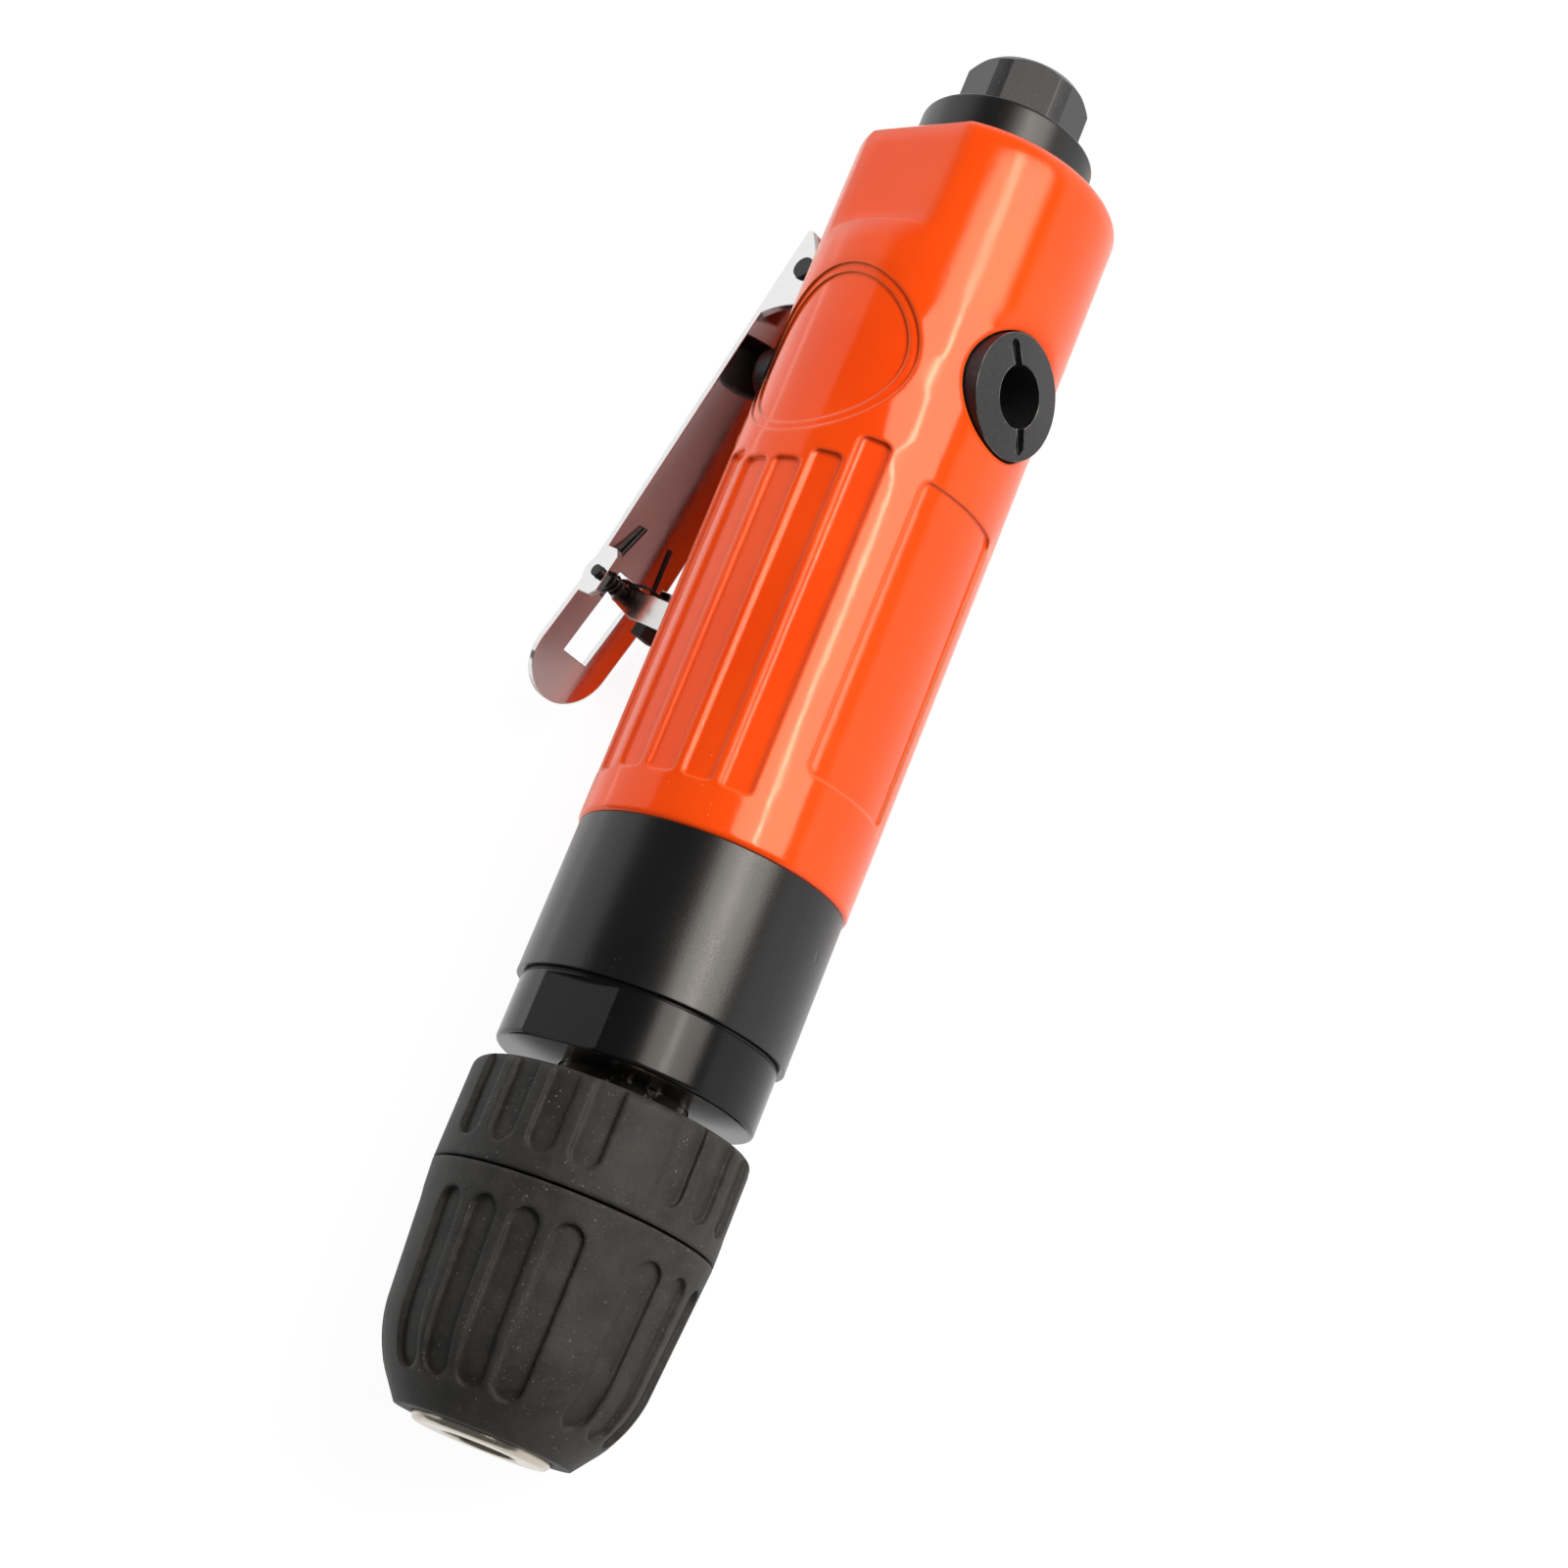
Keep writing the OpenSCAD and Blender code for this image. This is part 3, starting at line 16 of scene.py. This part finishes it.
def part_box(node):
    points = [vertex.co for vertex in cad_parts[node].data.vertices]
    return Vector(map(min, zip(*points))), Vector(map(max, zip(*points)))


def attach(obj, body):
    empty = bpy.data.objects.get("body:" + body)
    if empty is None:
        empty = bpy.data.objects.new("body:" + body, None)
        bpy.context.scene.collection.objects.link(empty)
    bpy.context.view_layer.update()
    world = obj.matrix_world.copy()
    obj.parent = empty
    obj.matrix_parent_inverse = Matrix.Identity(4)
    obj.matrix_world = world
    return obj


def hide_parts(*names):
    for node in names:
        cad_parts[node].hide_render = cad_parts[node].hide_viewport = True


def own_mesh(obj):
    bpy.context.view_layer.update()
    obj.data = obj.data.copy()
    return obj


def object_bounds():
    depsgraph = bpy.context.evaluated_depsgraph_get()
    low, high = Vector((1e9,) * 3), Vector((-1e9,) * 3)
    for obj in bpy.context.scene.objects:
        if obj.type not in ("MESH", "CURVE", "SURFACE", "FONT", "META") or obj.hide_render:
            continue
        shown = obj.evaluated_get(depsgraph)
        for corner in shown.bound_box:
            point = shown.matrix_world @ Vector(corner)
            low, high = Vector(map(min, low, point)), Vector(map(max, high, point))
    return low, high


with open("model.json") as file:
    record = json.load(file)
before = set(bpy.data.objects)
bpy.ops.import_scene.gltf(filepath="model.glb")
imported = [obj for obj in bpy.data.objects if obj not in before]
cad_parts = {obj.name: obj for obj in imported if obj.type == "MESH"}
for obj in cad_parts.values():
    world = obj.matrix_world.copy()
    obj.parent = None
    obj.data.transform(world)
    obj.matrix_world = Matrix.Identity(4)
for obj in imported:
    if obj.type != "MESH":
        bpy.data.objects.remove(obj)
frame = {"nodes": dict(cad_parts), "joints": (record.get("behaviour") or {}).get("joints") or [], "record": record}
solids = frame["nodes"]
cad_box = [list(corner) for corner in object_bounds()]
bpy.ops.object.select_all(action="DESELECT")
print("solids:", len(solids), "box:", cad_box)

# %% [markdown]
# ## Shader maths in plain Python
# A finish is easier to read as a sum than as a web of nodes. Each node could be added and linked by
# hand, but a dozen finishes would then hide under hundreds of links. So a small class holds a socket
# and answers to +, -, * and **, and an expression writes its own Math nodes.

# %% A value that does sums
class Value:
    """A socket of a node tree, ready for arithmetic."""

    def __init__(self, web, socket):
        self.web = web
        self.socket = socket

    def math(self, operation, first, second):
        return self.web.node("ShaderNodeMath", {"operation": operation}, {0: first, 1: second})

    def __add__(self, other):
        return self.math("ADD", self, other)

    def __radd__(self, other):
        return self.math("ADD", other, self)

    def __sub__(self, other):
        return self.math("SUBTRACT", self, other)

    def __rsub__(self, other):
        return self.math("SUBTRACT", other, self)

    def __mul__(self, other):
        return self.math("MULTIPLY", self, other)

    def __rmul__(self, other):
        return self.math("MULTIPLY", other, self)

    def __pow__(self, other):
        return self.math("POWER", self, other)

    def __rpow__(self, other):
        return self.math("POWER", other, self)

    def least(self, other):
        return self.math("MINIMUM", self, other)

    def rise(self, low, high):
        """0 below low, 1 above high, smooth between."""
        return self.web.node("ShaderNodeMapRange", {"interpolation_type": "SMOOTHSTEP"},
                             {"Value": self, "From Min": low, "From Max": high})

    def within(self, out_low, in_low, in_high, out_high):
        """1 between the inner limits, 0 past the outer ones."""
        return self.rise(out_low, in_low) * (1.0 - self.rise(in_high, out_high))


print("values add, subtract, multiply and raise")

# %% [markdown]
# ## One way to make a node
# Materials and the world are both node trees, so they share a class. One method makes every node: it
# takes the type, the settings and the values of its sockets, and hands back one output as a value.

# %% A tree of nodes
class Web:
    """A node tree and the method that grows its nodes."""

    def __init__(self, tree):
        self.tree = tree

    def node(self, kind, settings=None, sockets=None, out=0):
        made = self.tree.nodes.new(kind)
        for name, value in (settings or {}).items():
            setattr(made, name, value)
        for name, value in (sockets or {}).items():
            self.join(value, made.inputs[name])
        return Value(self, made.outputs[out])

    def join(self, value, socket):
        if isinstance(value, Value):
            self.tree.links.new(value.socket, socket)
        else:
            socket.default_value = value

    def axis(self, vector, letter):
        """One coordinate of a vector."""
        return self.node("ShaderNodeSeparateXYZ", sockets={0: vector}, out=letter)

    def rays(self, *kinds):
        """1 for rays of these kinds, 0 for all others."""
        total = self.node("ShaderNodeLightPath", out=kinds[0])
        for kind in kinds[1:]:
            total = total + self.node("ShaderNodeLightPath", out=kind)
        return total.least(1.0)

    def show(self, amount, first, second, end):
        """The tree's last shader: a blend of two."""
        shown = self.node("ShaderNodeMixShader", sockets={0: amount, 1: first, 2: second})
        self.join(shown, self.tree.nodes[end].inputs["Surface"])


print("trees grow nodes")

# %% [markdown]
# ## Patterns that every finish uses
# All finishes are built from a few patterns: soft noise, round specks and edges. Some finishes rub
# the edges pale; the enamel paints them paler, a painted highlight. The edges of the real pieces are
# broken by tools, moulds or paint. They could be bevelled in the mesh, but the solids stay as they
# are, so the Bevel node rounds only the normals.

# %% A finish
class Finish(Web):
    """A material with its Principled shader, and the methods for patterns on it."""

    def __init__(self, name, **constants):
        self.material = bpy.data.materials.new(name)
        self.material.use_nodes = True
        super().__init__(self.material.node_tree)
        self.shader = self.tree.nodes["Principled BSDF"]
        self.place = self.node("ShaderNodeTexCoord", out="Object")
        self.feed(**constants)

    def feed(self, **sockets):
        for name, value in sockets.items():
            title = "IOR" if name == "ior" else name.replace("_", " ").title()
            self.join(value, self.shader.inputs[title])

    def noise(self, scale, detail=2.0, roughness=0.5, stretch=None):
        place = self.place
        if stretch:
            place = self.node("ShaderNodeMapping", sockets={"Vector": place, "Scale": stretch})
        return self.node("ShaderNodeTexNoise", sockets={
            "Vector": place, "Scale": scale, "Detail": detail, "Roughness": roughness})

    def specks(self, scale, radius):
        """Small round dots, about one to a cell, 1 inside a dot."""
        far = self.node("ShaderNodeTexVoronoi", sockets={"Vector": self.place, "Scale": scale},
                        out="Distance")
        return 1.0 - far.rise(radius * 0.7, radius)

    def along(self, vector, direction):
        """How far a vector reaches in a direction."""
        return self.node("ShaderNodeVectorMath", {"operation": "DOT_PRODUCT"}, {0: vector, 1: direction},
                         out="Value")

    def mix(self, amount, first, second):
        """Blend of two colours."""
        return self.node("ShaderNodeMix", {"data_type": "RGBA"}, {"Factor": amount, 6: first, 7: second},
                         out=2)

    def blend(self, amount, first, second):
        """Blend of two directions."""
        return self.node("ShaderNodeMix", {"data_type": "VECTOR"}, {"Factor": amount, 4: first, 5: second},
                         out=1)

    def soft(self, radius):
        """Normals that run round every edge, as if it were broken by this radius."""
        return self.node("ShaderNodeBevel", {"samples": 8}, {"Radius": radius})

    def facing(self):
        return self.node("ShaderNodeNewGeometry", out="Normal")

    def edges(self, radius):
        """1 along the edges, 0 on the open faces."""
        return (1.0 - self.along(self.soft(radius), self.facing())).rise(0.02, 0.2)

    def bump(self, height, strength, distance, normal):
        return self.node("ShaderNodeBump", sockets={
            "Height": height, "Strength": strength, "Distance": distance, "Normal": normal})


print("finishes have noise, specks, edges and bumps")

# %% [markdown]
# ## Colours as a painter names them
# Colours are written as they look on screen, 0 to 255, because that is how they are matched.
# They could be typed in as linear numbers, but those are hard to picture, so a function turns them.

# %% Colours
def linear(share):
    return ((share + 0.055) / 1.055) ** 2.4 if share > 0.04045 else share / 12.92


def rgb(*screen):
    """A colour as seen on screen, 0 to 255, made linear."""
    return tuple(linear(channel / 255) for channel in screen) + (1.0,)


print("orange in linear light:", [round(channel, 3) for channel in rgb(231, 67, 5)])

# %% [markdown]
# ## Orange enamel
# The aluminium housing is sprayed with a thick gloss enamel. A flat orange with a clear coat would
# look like plastic. The colour drifts only slightly, so most of the look comes from the gloss: a very
# fine orange peel, a few dust grains under the film, and edges that the paint has rounded. It has
# rounded the spanner flats at the rear most of all, so the normals there run softer. Along every
# edge the orange is also painted paler, a painted highlight.

# %% The housing's enamel
mm = 0.001
rear_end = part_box("housing")[0][0]
flats_front = rear_end + 26.0 * mm
flats_fade = 4.0 * mm


def dress(name, material):
    """Give one solid its finish."""
    solids[name].data.materials.clear()
    solids[name].data.materials.append(material)


def enamel():
    f = Finish("orange_enamel", ior=1.46, specular_tint=(1.0, 0.93, 0.68, 1.0))
    drift = f.noise(42.0, detail=3.0)
    peel = f.noise(620.0)
    grain = f.noise(2600.0, detail=1.0)
    dust = f.specks(420.0, radius=0.06) * f.noise(30.0).rise(0.55, 0.75)
    colour = f.mix(drift.rise(0.3, 0.7), rgb(231, 67, 5), rgb(237, 74, 9))
    # painted highlight: a paler orange along every edge
    colour = f.mix(f.edges(0.7 * mm) * 0.4, colour, rgb(255, 128, 64))
    colour = f.mix(dust * 0.4, colour, rgb(255, 170, 130))
    flats = 1.0 - f.axis(f.place, "X").rise(flats_front, flats_front + flats_fade)
    rounded = f.blend(flats, f.soft(0.9 * mm), f.soft(5.0 * mm))
    f.feed(base_color=colour, roughness=0.08 + grain * 0.04 + drift * 0.03,
           normal=f.bump(peel + dust * 0.6, strength=0.05, distance=0.3 * mm, normal=rounded))
    return f.material


dress("housing", enamel())
print("housing enamelled, flats from", round(rear_end, 4), "to", round(flats_front, 4))

# %% [markdown]
# ## Black coat
# Gear case, clamp nut and rear collar carry a thin black coat that is almost as deep as ink and
# shows the lamps as soft bands. One black for all three would do, but each has its own gloss, and the
# nut mirrors least. Fine dust and a few pin-head dents keep the coat from looking perfect.

# %% Gloss black on the metal sleeves
def black_coat(name, gloss, ior):
    f = Finish(name, ior=ior)
    cloud = f.noise(70.0, detail=4.0)
    grain = f.noise(3800.0, detail=1.0)
    dents = f.specks(120.0, radius=0.09) * f.noise(60.0).rise(0.56, 0.62)
    dust = f.specks(900.0, radius=0.1) * f.noise(90.0).rise(0.5, 0.7)
    colour = f.mix(cloud, rgb(7, 7, 8), rgb(13, 13, 14))
    colour = f.mix(dust * 0.2 + f.edges(0.2 * mm) * 0.12, colour, rgb(110, 110, 112))
    f.feed(base_color=colour, roughness=gloss + cloud * 0.08 + grain * 0.05,
           normal=f.bump(grain * 0.15 - dents, strength=0.3, distance=0.2 * mm, normal=f.soft(0.3 * mm)))
    return f.material


for name, gloss, ior in (
        ("gear_case", 0.2, 1.5),
        ("clamp_nut", 0.13, 1.36),
        ("exhaust_collar", 0.24, 1.5)):
    dress(name, black_coat(name + "_coat", gloss, ior))
    print(name, "coated")

# %% [markdown]
# ## Black oxide
# The inlet bushing, the regulator, the plunger and the pins are blackened steel: a dull metal with
# a fine speckle, rubbed pale along the edges that hands and spanners touch. The wear could be painted
# on, but the Bevel node already knows where the edges are, so wear and edge come from one pattern.

# %% Oxide on the small steel pieces
def darker(colour, share):
    return tuple(channel * share for channel in colour[:3]) + (1.0,)


def oxide(name, tone, rough, wear):
    f = Finish(name, ior=1.55)
    speckle = f.noise(2400.0, detail=4.0, roughness=0.7)
    cloud = f.noise(160.0, detail=3.0)
    colour = f.mix(speckle.rise(0.45, 0.8) * 0.5 + cloud * 0.1,
                   darker(rgb(40, 41, 44), tone), darker(rgb(86, 87, 91), tone))
    rubbed = f.edges(0.25 * mm) * f.noise(420.0, detail=3.0).rise(0.38, 0.62) * wear
    dust = f.specks(900.0, radius=0.1) * f.noise(150.0).rise(0.5, 0.62)
    colour = f.mix(rubbed + dust * wear * 0.5, colour, rgb(165, 163, 160))
    f.feed(base_color=colour, metallic=0.15 + cloud * 0.15, roughness=rough + speckle * 0.15,
           normal=f.bump(speckle, strength=0.12, distance=0.1 * mm, normal=f.soft(0.3 * mm)))
    return f.material


for name, tone, rough, wear in (
        ("inlet_bushing", 0.75, 0.3, 0.5),
        ("regulator", 0.5, 0.34, 0.8),
        ("valve_plug", 1.0, 0.3, 0.4),
        ("throttle_plunger", 0.3, 0.34, 0.1),
        ("lever_pin", 0.25, 0.35, 0.15),
        ("catch_pin", 0.25, 0.35, 0.15),
        ("catch_spring", 0.3, 0.3, 0.0)):
    dress(name, oxide(name + "_oxide", tone, rough, wear))
    print(name, "blackened")

# %% [markdown]
# ## The bow of the lever
# The lever's sheet is bowed a little across, hollow towards the tool, and that decides what its
# underside mirrors. The mesh could be bent, but the solid is flat and stays so. The bow is only about
# a millimetre, so a bump that turns the normals is enough. It grows with the square of the distance
# from the tool's middle, and the plunger's joint says which way the lever is pushed.

# %% The bow of a sheet
slide = next(joint for joint in frame["joints"] if joint["name"] == "plunger_slide")
push = Vector(slide["axis"]).normalized()
across = push.cross(Vector((1.0, 0.0, 0.0)))


def hollow(f, bow, edge):
    """Normals of a sheet that is bowed across the tool, hollow on the side that faces it."""
    height = f.along(f.facing(), push) * f.along(f.place, across) ** 2.0 * bow
    return f.bump(height, strength=1.0, distance=1.0, normal=f.soft(edge))


print("the plunger is pushed along", tuple(round(part, 3) for part in push))

# %% [markdown]
# ## Plating
# The lever and the catch are stamped from sheet and chromed. A clean mirror would look computed,
# because plating follows every ripple of the sheet, so a long soft bump breaks it just enough. The
# nose of the chuck is satin nickel, rubbed and stained by bits and work. It is the same finish,
# only rougher and with darker stains.

# %% Plated sheet and the nose of the chuck
def plating(name, colour, low, edge, stained, bow):
    f = Finish(name, metallic=1.0)
    wave = f.noise(70.0)
    scuff = f.noise(1400.0, detail=3.0, roughness=0.6, stretch=(0.15, 1.0, 1.0))
    stain = f.noise(240.0, detail=4.0, roughness=0.65)
    tint = f.mix(wave * 0.5 + stain.rise(0.5, 0.8) * 0.5, colour, darker(colour, stained))
    f.feed(base_color=tint, roughness=low + scuff.rise(0.5, 0.85) * 0.1 + stain * 0.05,
           normal=f.bump(wave + scuff * 0.01, strength=0.1, distance=0.8 * mm, normal=hollow(f, bow, edge)))
    return f.material


for name, colour, low, edge, stained, bow in (
        ("throttle_lever", rgb(230, 228, 227), 0.06, 0.3 * mm, 0.86, 25.0),
        ("safety_catch", rgb(216, 215, 212), 0.16, 0.3 * mm, 0.86, 0.0),
        ("chuck_body", rgb(214, 204, 190), 0.2, 0.5 * mm, 0.3, 0.0)):
    dress(name, plating(name + "_plating", colour, low, edge, stained, bow))
    print(name, "plated")

# %% [markdown]
# ## Chuck plastic
# The two sleeves are moulded in a glass-filled black plastic. It is matt and a little brown, its
# flutes have soft edges, and handling has left pale scuffs, fibres and dust on the ridges. A plain
# dark grey reads as rubber, so several layers of noise, each paler and rarer, are laid on one another.

# %% The fluted sleeves
def sleeve_plastic(name):
    f = Finish(name, ior=1.36)
    mottle = f.noise(260.0, detail=5.0, roughness=0.65)
    fine = f.noise(2200.0, detail=3.0, roughness=0.6)
    scuffs = f.noise(900.0, detail=4.0, roughness=0.7, stretch=(0.25, 1.0, 1.0)).rise(0.62, 0.78)
    ridges = f.edges(0.7 * mm) * f.noise(600.0, detail=4.0, roughness=0.7).rise(0.4, 0.7)
    dust = f.specks(800.0, radius=0.1) * f.noise(120.0).rise(0.48, 0.62)
    grit = f.specks(1500.0, radius=0.13) * f.noise(200.0, detail=3.0).rise(0.45, 0.6)
    colour = f.mix(mottle.rise(0.3, 0.75), rgb(36, 36, 36), rgb(50, 49, 47))
    colour = f.mix(fine.rise(0.5, 0.8) * 0.3, colour, rgb(74, 71, 66))
    colour = f.mix(scuffs * 0.28 + ridges * 0.26, colour, rgb(104, 98, 88))
    colour = f.mix(dust * 0.7 + grit * 0.4, colour, rgb(150, 144, 132))
    f.feed(base_color=colour, roughness=0.5 + fine * 0.2,
           normal=f.bump(fine + mottle, strength=0.35, distance=0.15 * mm, normal=f.soft(1.0 * mm)))
    return f.material


for name in ("front_sleeve", "rear_sleeve"):
    dress(name, sleeve_plastic(name + "_plastic"))
    print(name, "moulded")

# %% [markdown]
# ## Inside pieces
# Gears, bearings, rotor and seals are seen only when the tool is taken apart, but each still gets
# its own finish: ground steel with fine turning marks, brass, aluminium, fibre and rubber. The record
# names each piece's material, so the finishes are made once and handed out by that name.

# %% Finishes of the inner pieces
def worked_metal(name, colour, rough):
    f = Finish(name)
    turning = f.noise(2600.0, stretch=(1.0, 0.08, 0.08))
    stain = f.noise(110.0, detail=4.0)
    tint = f.mix(stain.rise(0.35, 0.8) * 0.5, colour, darker(colour, 0.72))
    f.feed(base_color=tint, metallic=1.0 - stain * 0.1, roughness=rough + turning * 0.15,
           normal=f.bump(turning, strength=0.1, distance=0.1 * mm, normal=f.soft(0.2 * mm)))
    return f.material


def dull(name, colour, rough):
    f = Finish(name)
    grain = f.noise(1800.0, detail=4.0, roughness=0.7)
    tint = f.mix(grain.rise(0.35, 0.75), darker(colour, 0.8), colour)
    f.feed(base_color=tint, roughness=rough + grain * 0.15,
           normal=f.bump(grain, strength=0.15, distance=0.1 * mm, normal=f.soft(0.2 * mm)))
    return f.material


inner = {
    "steel": worked_metal("ground_steel", rgb(168, 170, 174), 0.28),
    "race_steel": worked_metal("race_steel", rgb(205, 207, 210), 0.12),
    "spindle_steel": worked_metal("tempered_steel", rgb(128, 116, 102), 0.3),
    "aluminium": worked_metal("turned_aluminium", rgb(186, 188, 191), 0.35),
    "brass": worked_metal("turned_brass", rgb(196, 160, 86), 0.28),
    "vane_fibre": dull("vane_fibre", rgb(138, 90, 51), 0.6),
    "rubber": dull("seal_rubber", rgb(24, 24, 25), 0.55),
}
for part in frame["record"]["subparts"]:
    if part["material_slot"] in inner:
        dress(part["node"], inner[part["material_slot"]])
print("inner finishes:", sorted(inner))

# %% [markdown]
# ## The valve spring
# Under the throttle valve sits a small coil spring. When the plunger goes in, the valve comes down
# on it and it shortens. A solid cannot do that. Here a copy of the coil, with its doubled points
# merged, stands in for it on the tool's body and the solid is hidden; its length along the push and
# the plunger's travel are measured, but the copy itself does not shorten.

# %% A stand-in for the valve spring
coil = bpy.data.objects.new("valve_coil", solids["valve_spring"].data.copy())
bpy.context.scene.collection.objects.link(coil)
bpy.context.view_layer.objects.active = coil
bpy.ops.object.mode_set(mode="EDIT")
bpy.ops.mesh.select_all(action="SELECT")
bpy.ops.mesh.remove_doubles(threshold=0.001 * mm)
bpy.ops.object.mode_set(mode="OBJECT")

wire = [vertex.co for vertex in coil.data.vertices]
depth = [push.dot(point) for point in wire]
foot = wire[depth.index(max(depth))].copy()
travel = max(slide["range_m"])
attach(coil, "tool")
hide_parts("valve_spring")
1.0 - travel / (max(depth) - min(depth))
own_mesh(coil)
print("spring", round(max(depth) - min(depth), 5), "gives way by", travel)

# %% [markdown]
# ## The collar in the gap
# Between chuck and nut a short dark collar shows. Grease has blackened it, and bright steel comes
# through in spots. One noise with a hard step makes the spots, and they are smoother as well as paler.

# %% Worn collar
def worn_collar():
    f = Finish("worn_collar", metallic=0.9)
    spots = f.noise(330.0, detail=4.0, roughness=0.7).rise(0.55, 0.66)
    film = f.noise(900.0, detail=3.0)
    grease = f.mix(film, rgb(30, 28, 26), rgb(58, 53, 48))
    f.feed(base_color=f.mix(spots, grease, rgb(176, 168, 158)),
           roughness=0.45 - spots * 0.2 + film * 0.1,
           normal=f.bump(film, strength=0.1, distance=0.1 * mm, normal=f.soft(0.3 * mm)))
    return f.material


dress("spindle_collar", worn_collar())
print("collar worn")

# %% [markdown]
# ## The white table
# The photograph is a product shot on pure white, so the drill lies on a large plain sheet. A curved
# backdrop would do as well, but a flat sheet is simpler and the room closes the view behind it. It
# lies just under the lowest point of the tool.

# %% The white sheet
table_z = cad_box[0][2] - 0.2 * mm
sheet_size = 6.0
sheet_middle = -100.0 * mm
bpy.ops.mesh.primitive_plane_add(size=1.0, location=(0.0, 0.0, 0.0))
sheet = bpy.context.active_object
sheet.name = "white_sheet"
bpy.ops.object.mode_set(mode="EDIT")
bpy.ops.transform.resize(value=(sheet_size, sheet_size, 1.0))
bpy.ops.mesh.subdivide(number_cuts=3)
bpy.ops.transform.translate(value=(sheet_middle, 0.0, table_z))
bpy.ops.object.mode_set(mode="OBJECT")
print("sheet at", round(table_z, 4))

# %% [markdown]
# ## The sheet's white
# More light would whiten the sheet, but it would bleach the tool too. So the sheet glows by itself
# for the camera and for mirrors, and a small share of its real surface is left to keep a faint
# shadow. Right under the rear of the tool mirrors see the real, dark sheet, as they do on a table.

# %% A sheet that glows
pure_white = (1.0, 1.0, 1.0, 1.0)
sheet_glow = 1.08
glow_share = 0.85
white = Finish("white_sheet", roughness=0.9)
white.feed(base_color=white.mix(white.noise(3.0), rgb(250, 250, 250), rgb(246, 246, 246)))
glow = white.node("ShaderNodeEmission", sockets={"Color": pure_white, "Strength": sheet_glow})
lengthwise, sideways = white.axis(white.place, "X"), white.axis(white.place, "Y")
under = lengthwise.within(-250.0 * mm, -220.0 * mm, -100.0 * mm, -85.0 * mm)
under = under * sideways.within(-85.0 * mm, -60.0 * mm, 10.0 * mm, 30.0 * mm)
mirrored = white.rays("Is Glossy Ray", "Is Transmission Ray") * (1.0 - under)
seen = (white.rays("Is Camera Ray") + mirrored).least(1.0) * glow_share
white.show(seen, Value(white, white.shader.outputs[0]), glow, "Material Output")
sheet.data.materials.append(white.material)
print("sheet glows for the camera and keeps a faint shadow")

# %% [markdown]
# ## The room
# Past the sheet the camera should see white as well, also in a view from low down. A bright world
# would flood the tool from all sides. So the world is dim, apart from what the camera sees and a low
# band along the horizon that mirrors see too.

# %% Dim air and a white horizon
room = bpy.data.worlds.new("white_room")
room.use_nodes = True
bpy.context.scene.world = room
air = Web(room.node_tree)
dim_light, full_light = 0.15, 1.0
dim, bright = [air.node("ShaderNodeBackground", sockets={"Color": pure_white, "Strength": strength})
               for strength in (dim_light, full_light)]
height = air.axis(air.node("ShaderNodeTexCoord", out="Generated"), "Z")
low_band = 1.0 - height.rise(0.02, 0.08)
mirrored = air.rays("Is Glossy Ray", "Is Transmission Ray") * low_band
air.show((air.rays("Is Camera Ray") + mirrored).least(1.0), dim, bright, "World Output")
bpy.context.scene.view_settings.view_transform = "Standard"
print("room: dim above, white along the horizon")

# %% [markdown]
# ## Soft boxes
# One long soft box to the right, with a hot tube in it, makes the pale band and the streak on the
# enamel. A large dim wall on the left opens up the other side, and two fill lights that mirrors do
# not see even it out. The lamps are placed by their angle round the tool's axis, because that angle
# decides where on a round body the lamp is mirrored. Overhead it stays dark.

# %% Soft boxes round the tool
warm, cool, neutral = (1.0, 0.93, 0.85), (0.98, 0.99, 1.0), (1.0, 1.0, 1.0)
aim = Vector((-0.105, 0.0, 0.0))


def soft_box(name, angle, along, distance, size, glow, tint):
    """An area light at an angle round the tool's axis, with its brightness per area."""
    turned = math.radians(angle)
    place = Vector((along, distance * math.cos(turned), distance * math.sin(turned)))
    lamp = bpy.data.lights.new(name, "AREA")
    lamp.shape = "RECTANGLE"
    lamp.size, lamp.size_y = size
    lamp.energy = math.pi * lamp.size * lamp.size_y * glow
    lamp.color = tint
    box = bpy.data.objects.new(name, lamp)
    bpy.context.scene.collection.objects.link(box)
    box.location = place
    box.rotation_euler = (place - aim).to_track_quat("Z", "Y").to_euler()
    print(name, "at", tuple(round(v, 2) for v in place))
    return box


soft_box("key_box", angle=39.0, along=-0.45, distance=0.9, size=(0.7, 0.77), glow=6.0, tint=warm)
soft_box("hot_tube", angle=43.0, along=-0.45, distance=0.88, size=(0.7, 0.014), glow=48.0, tint=warm)
soft_box("left_wall", angle=154.0, along=-0.6, distance=1.0, size=(1.4, 1.05), glow=0.95, tint=cool)
for name, angle, along, glow in (("left_fill", 168.0, 0.1, 6.0), ("right_fill", 10.0, -0.2, 2.2)):
    fill = soft_box(name, angle, along, distance=0.9, size=(0.6, 0.5), glow=glow, tint=neutral)
    fill.visible_glossy = False

# %% [markdown]
# ## Camera
# The camera stands where the photograph was taken from, found from the circles and edges of the
# turned pieces. An empty to track would do, but an eye, a point to look at and a roll say the same in
# three values.

# %% The photograph's camera
eye = Vector((0.023575, 0.186802, 0.353195))
looked_at = Vector((-0.098556, 0.005278, 0.0))
roll = math.radians(-38.2775)
lens = bpy.data.cameras.new("photo_camera")
lens.sensor_width = 36.0
lens.lens = 68.486
lens.clip_start = 10.0 * mm
camera = bpy.data.objects.new("photo_camera", lens)
look = (looked_at - eye).to_track_quat("-Z", "Y").to_matrix().to_4x4()
camera.matrix_world = Matrix.Translation(eye) @ look @ Matrix.Rotation(roll, 4, "Z")
bpy.context.scene.collection.objects.link(camera)
bpy.context.scene.camera = camera
print("camera at", tuple(round(v, 3) for v in eye))
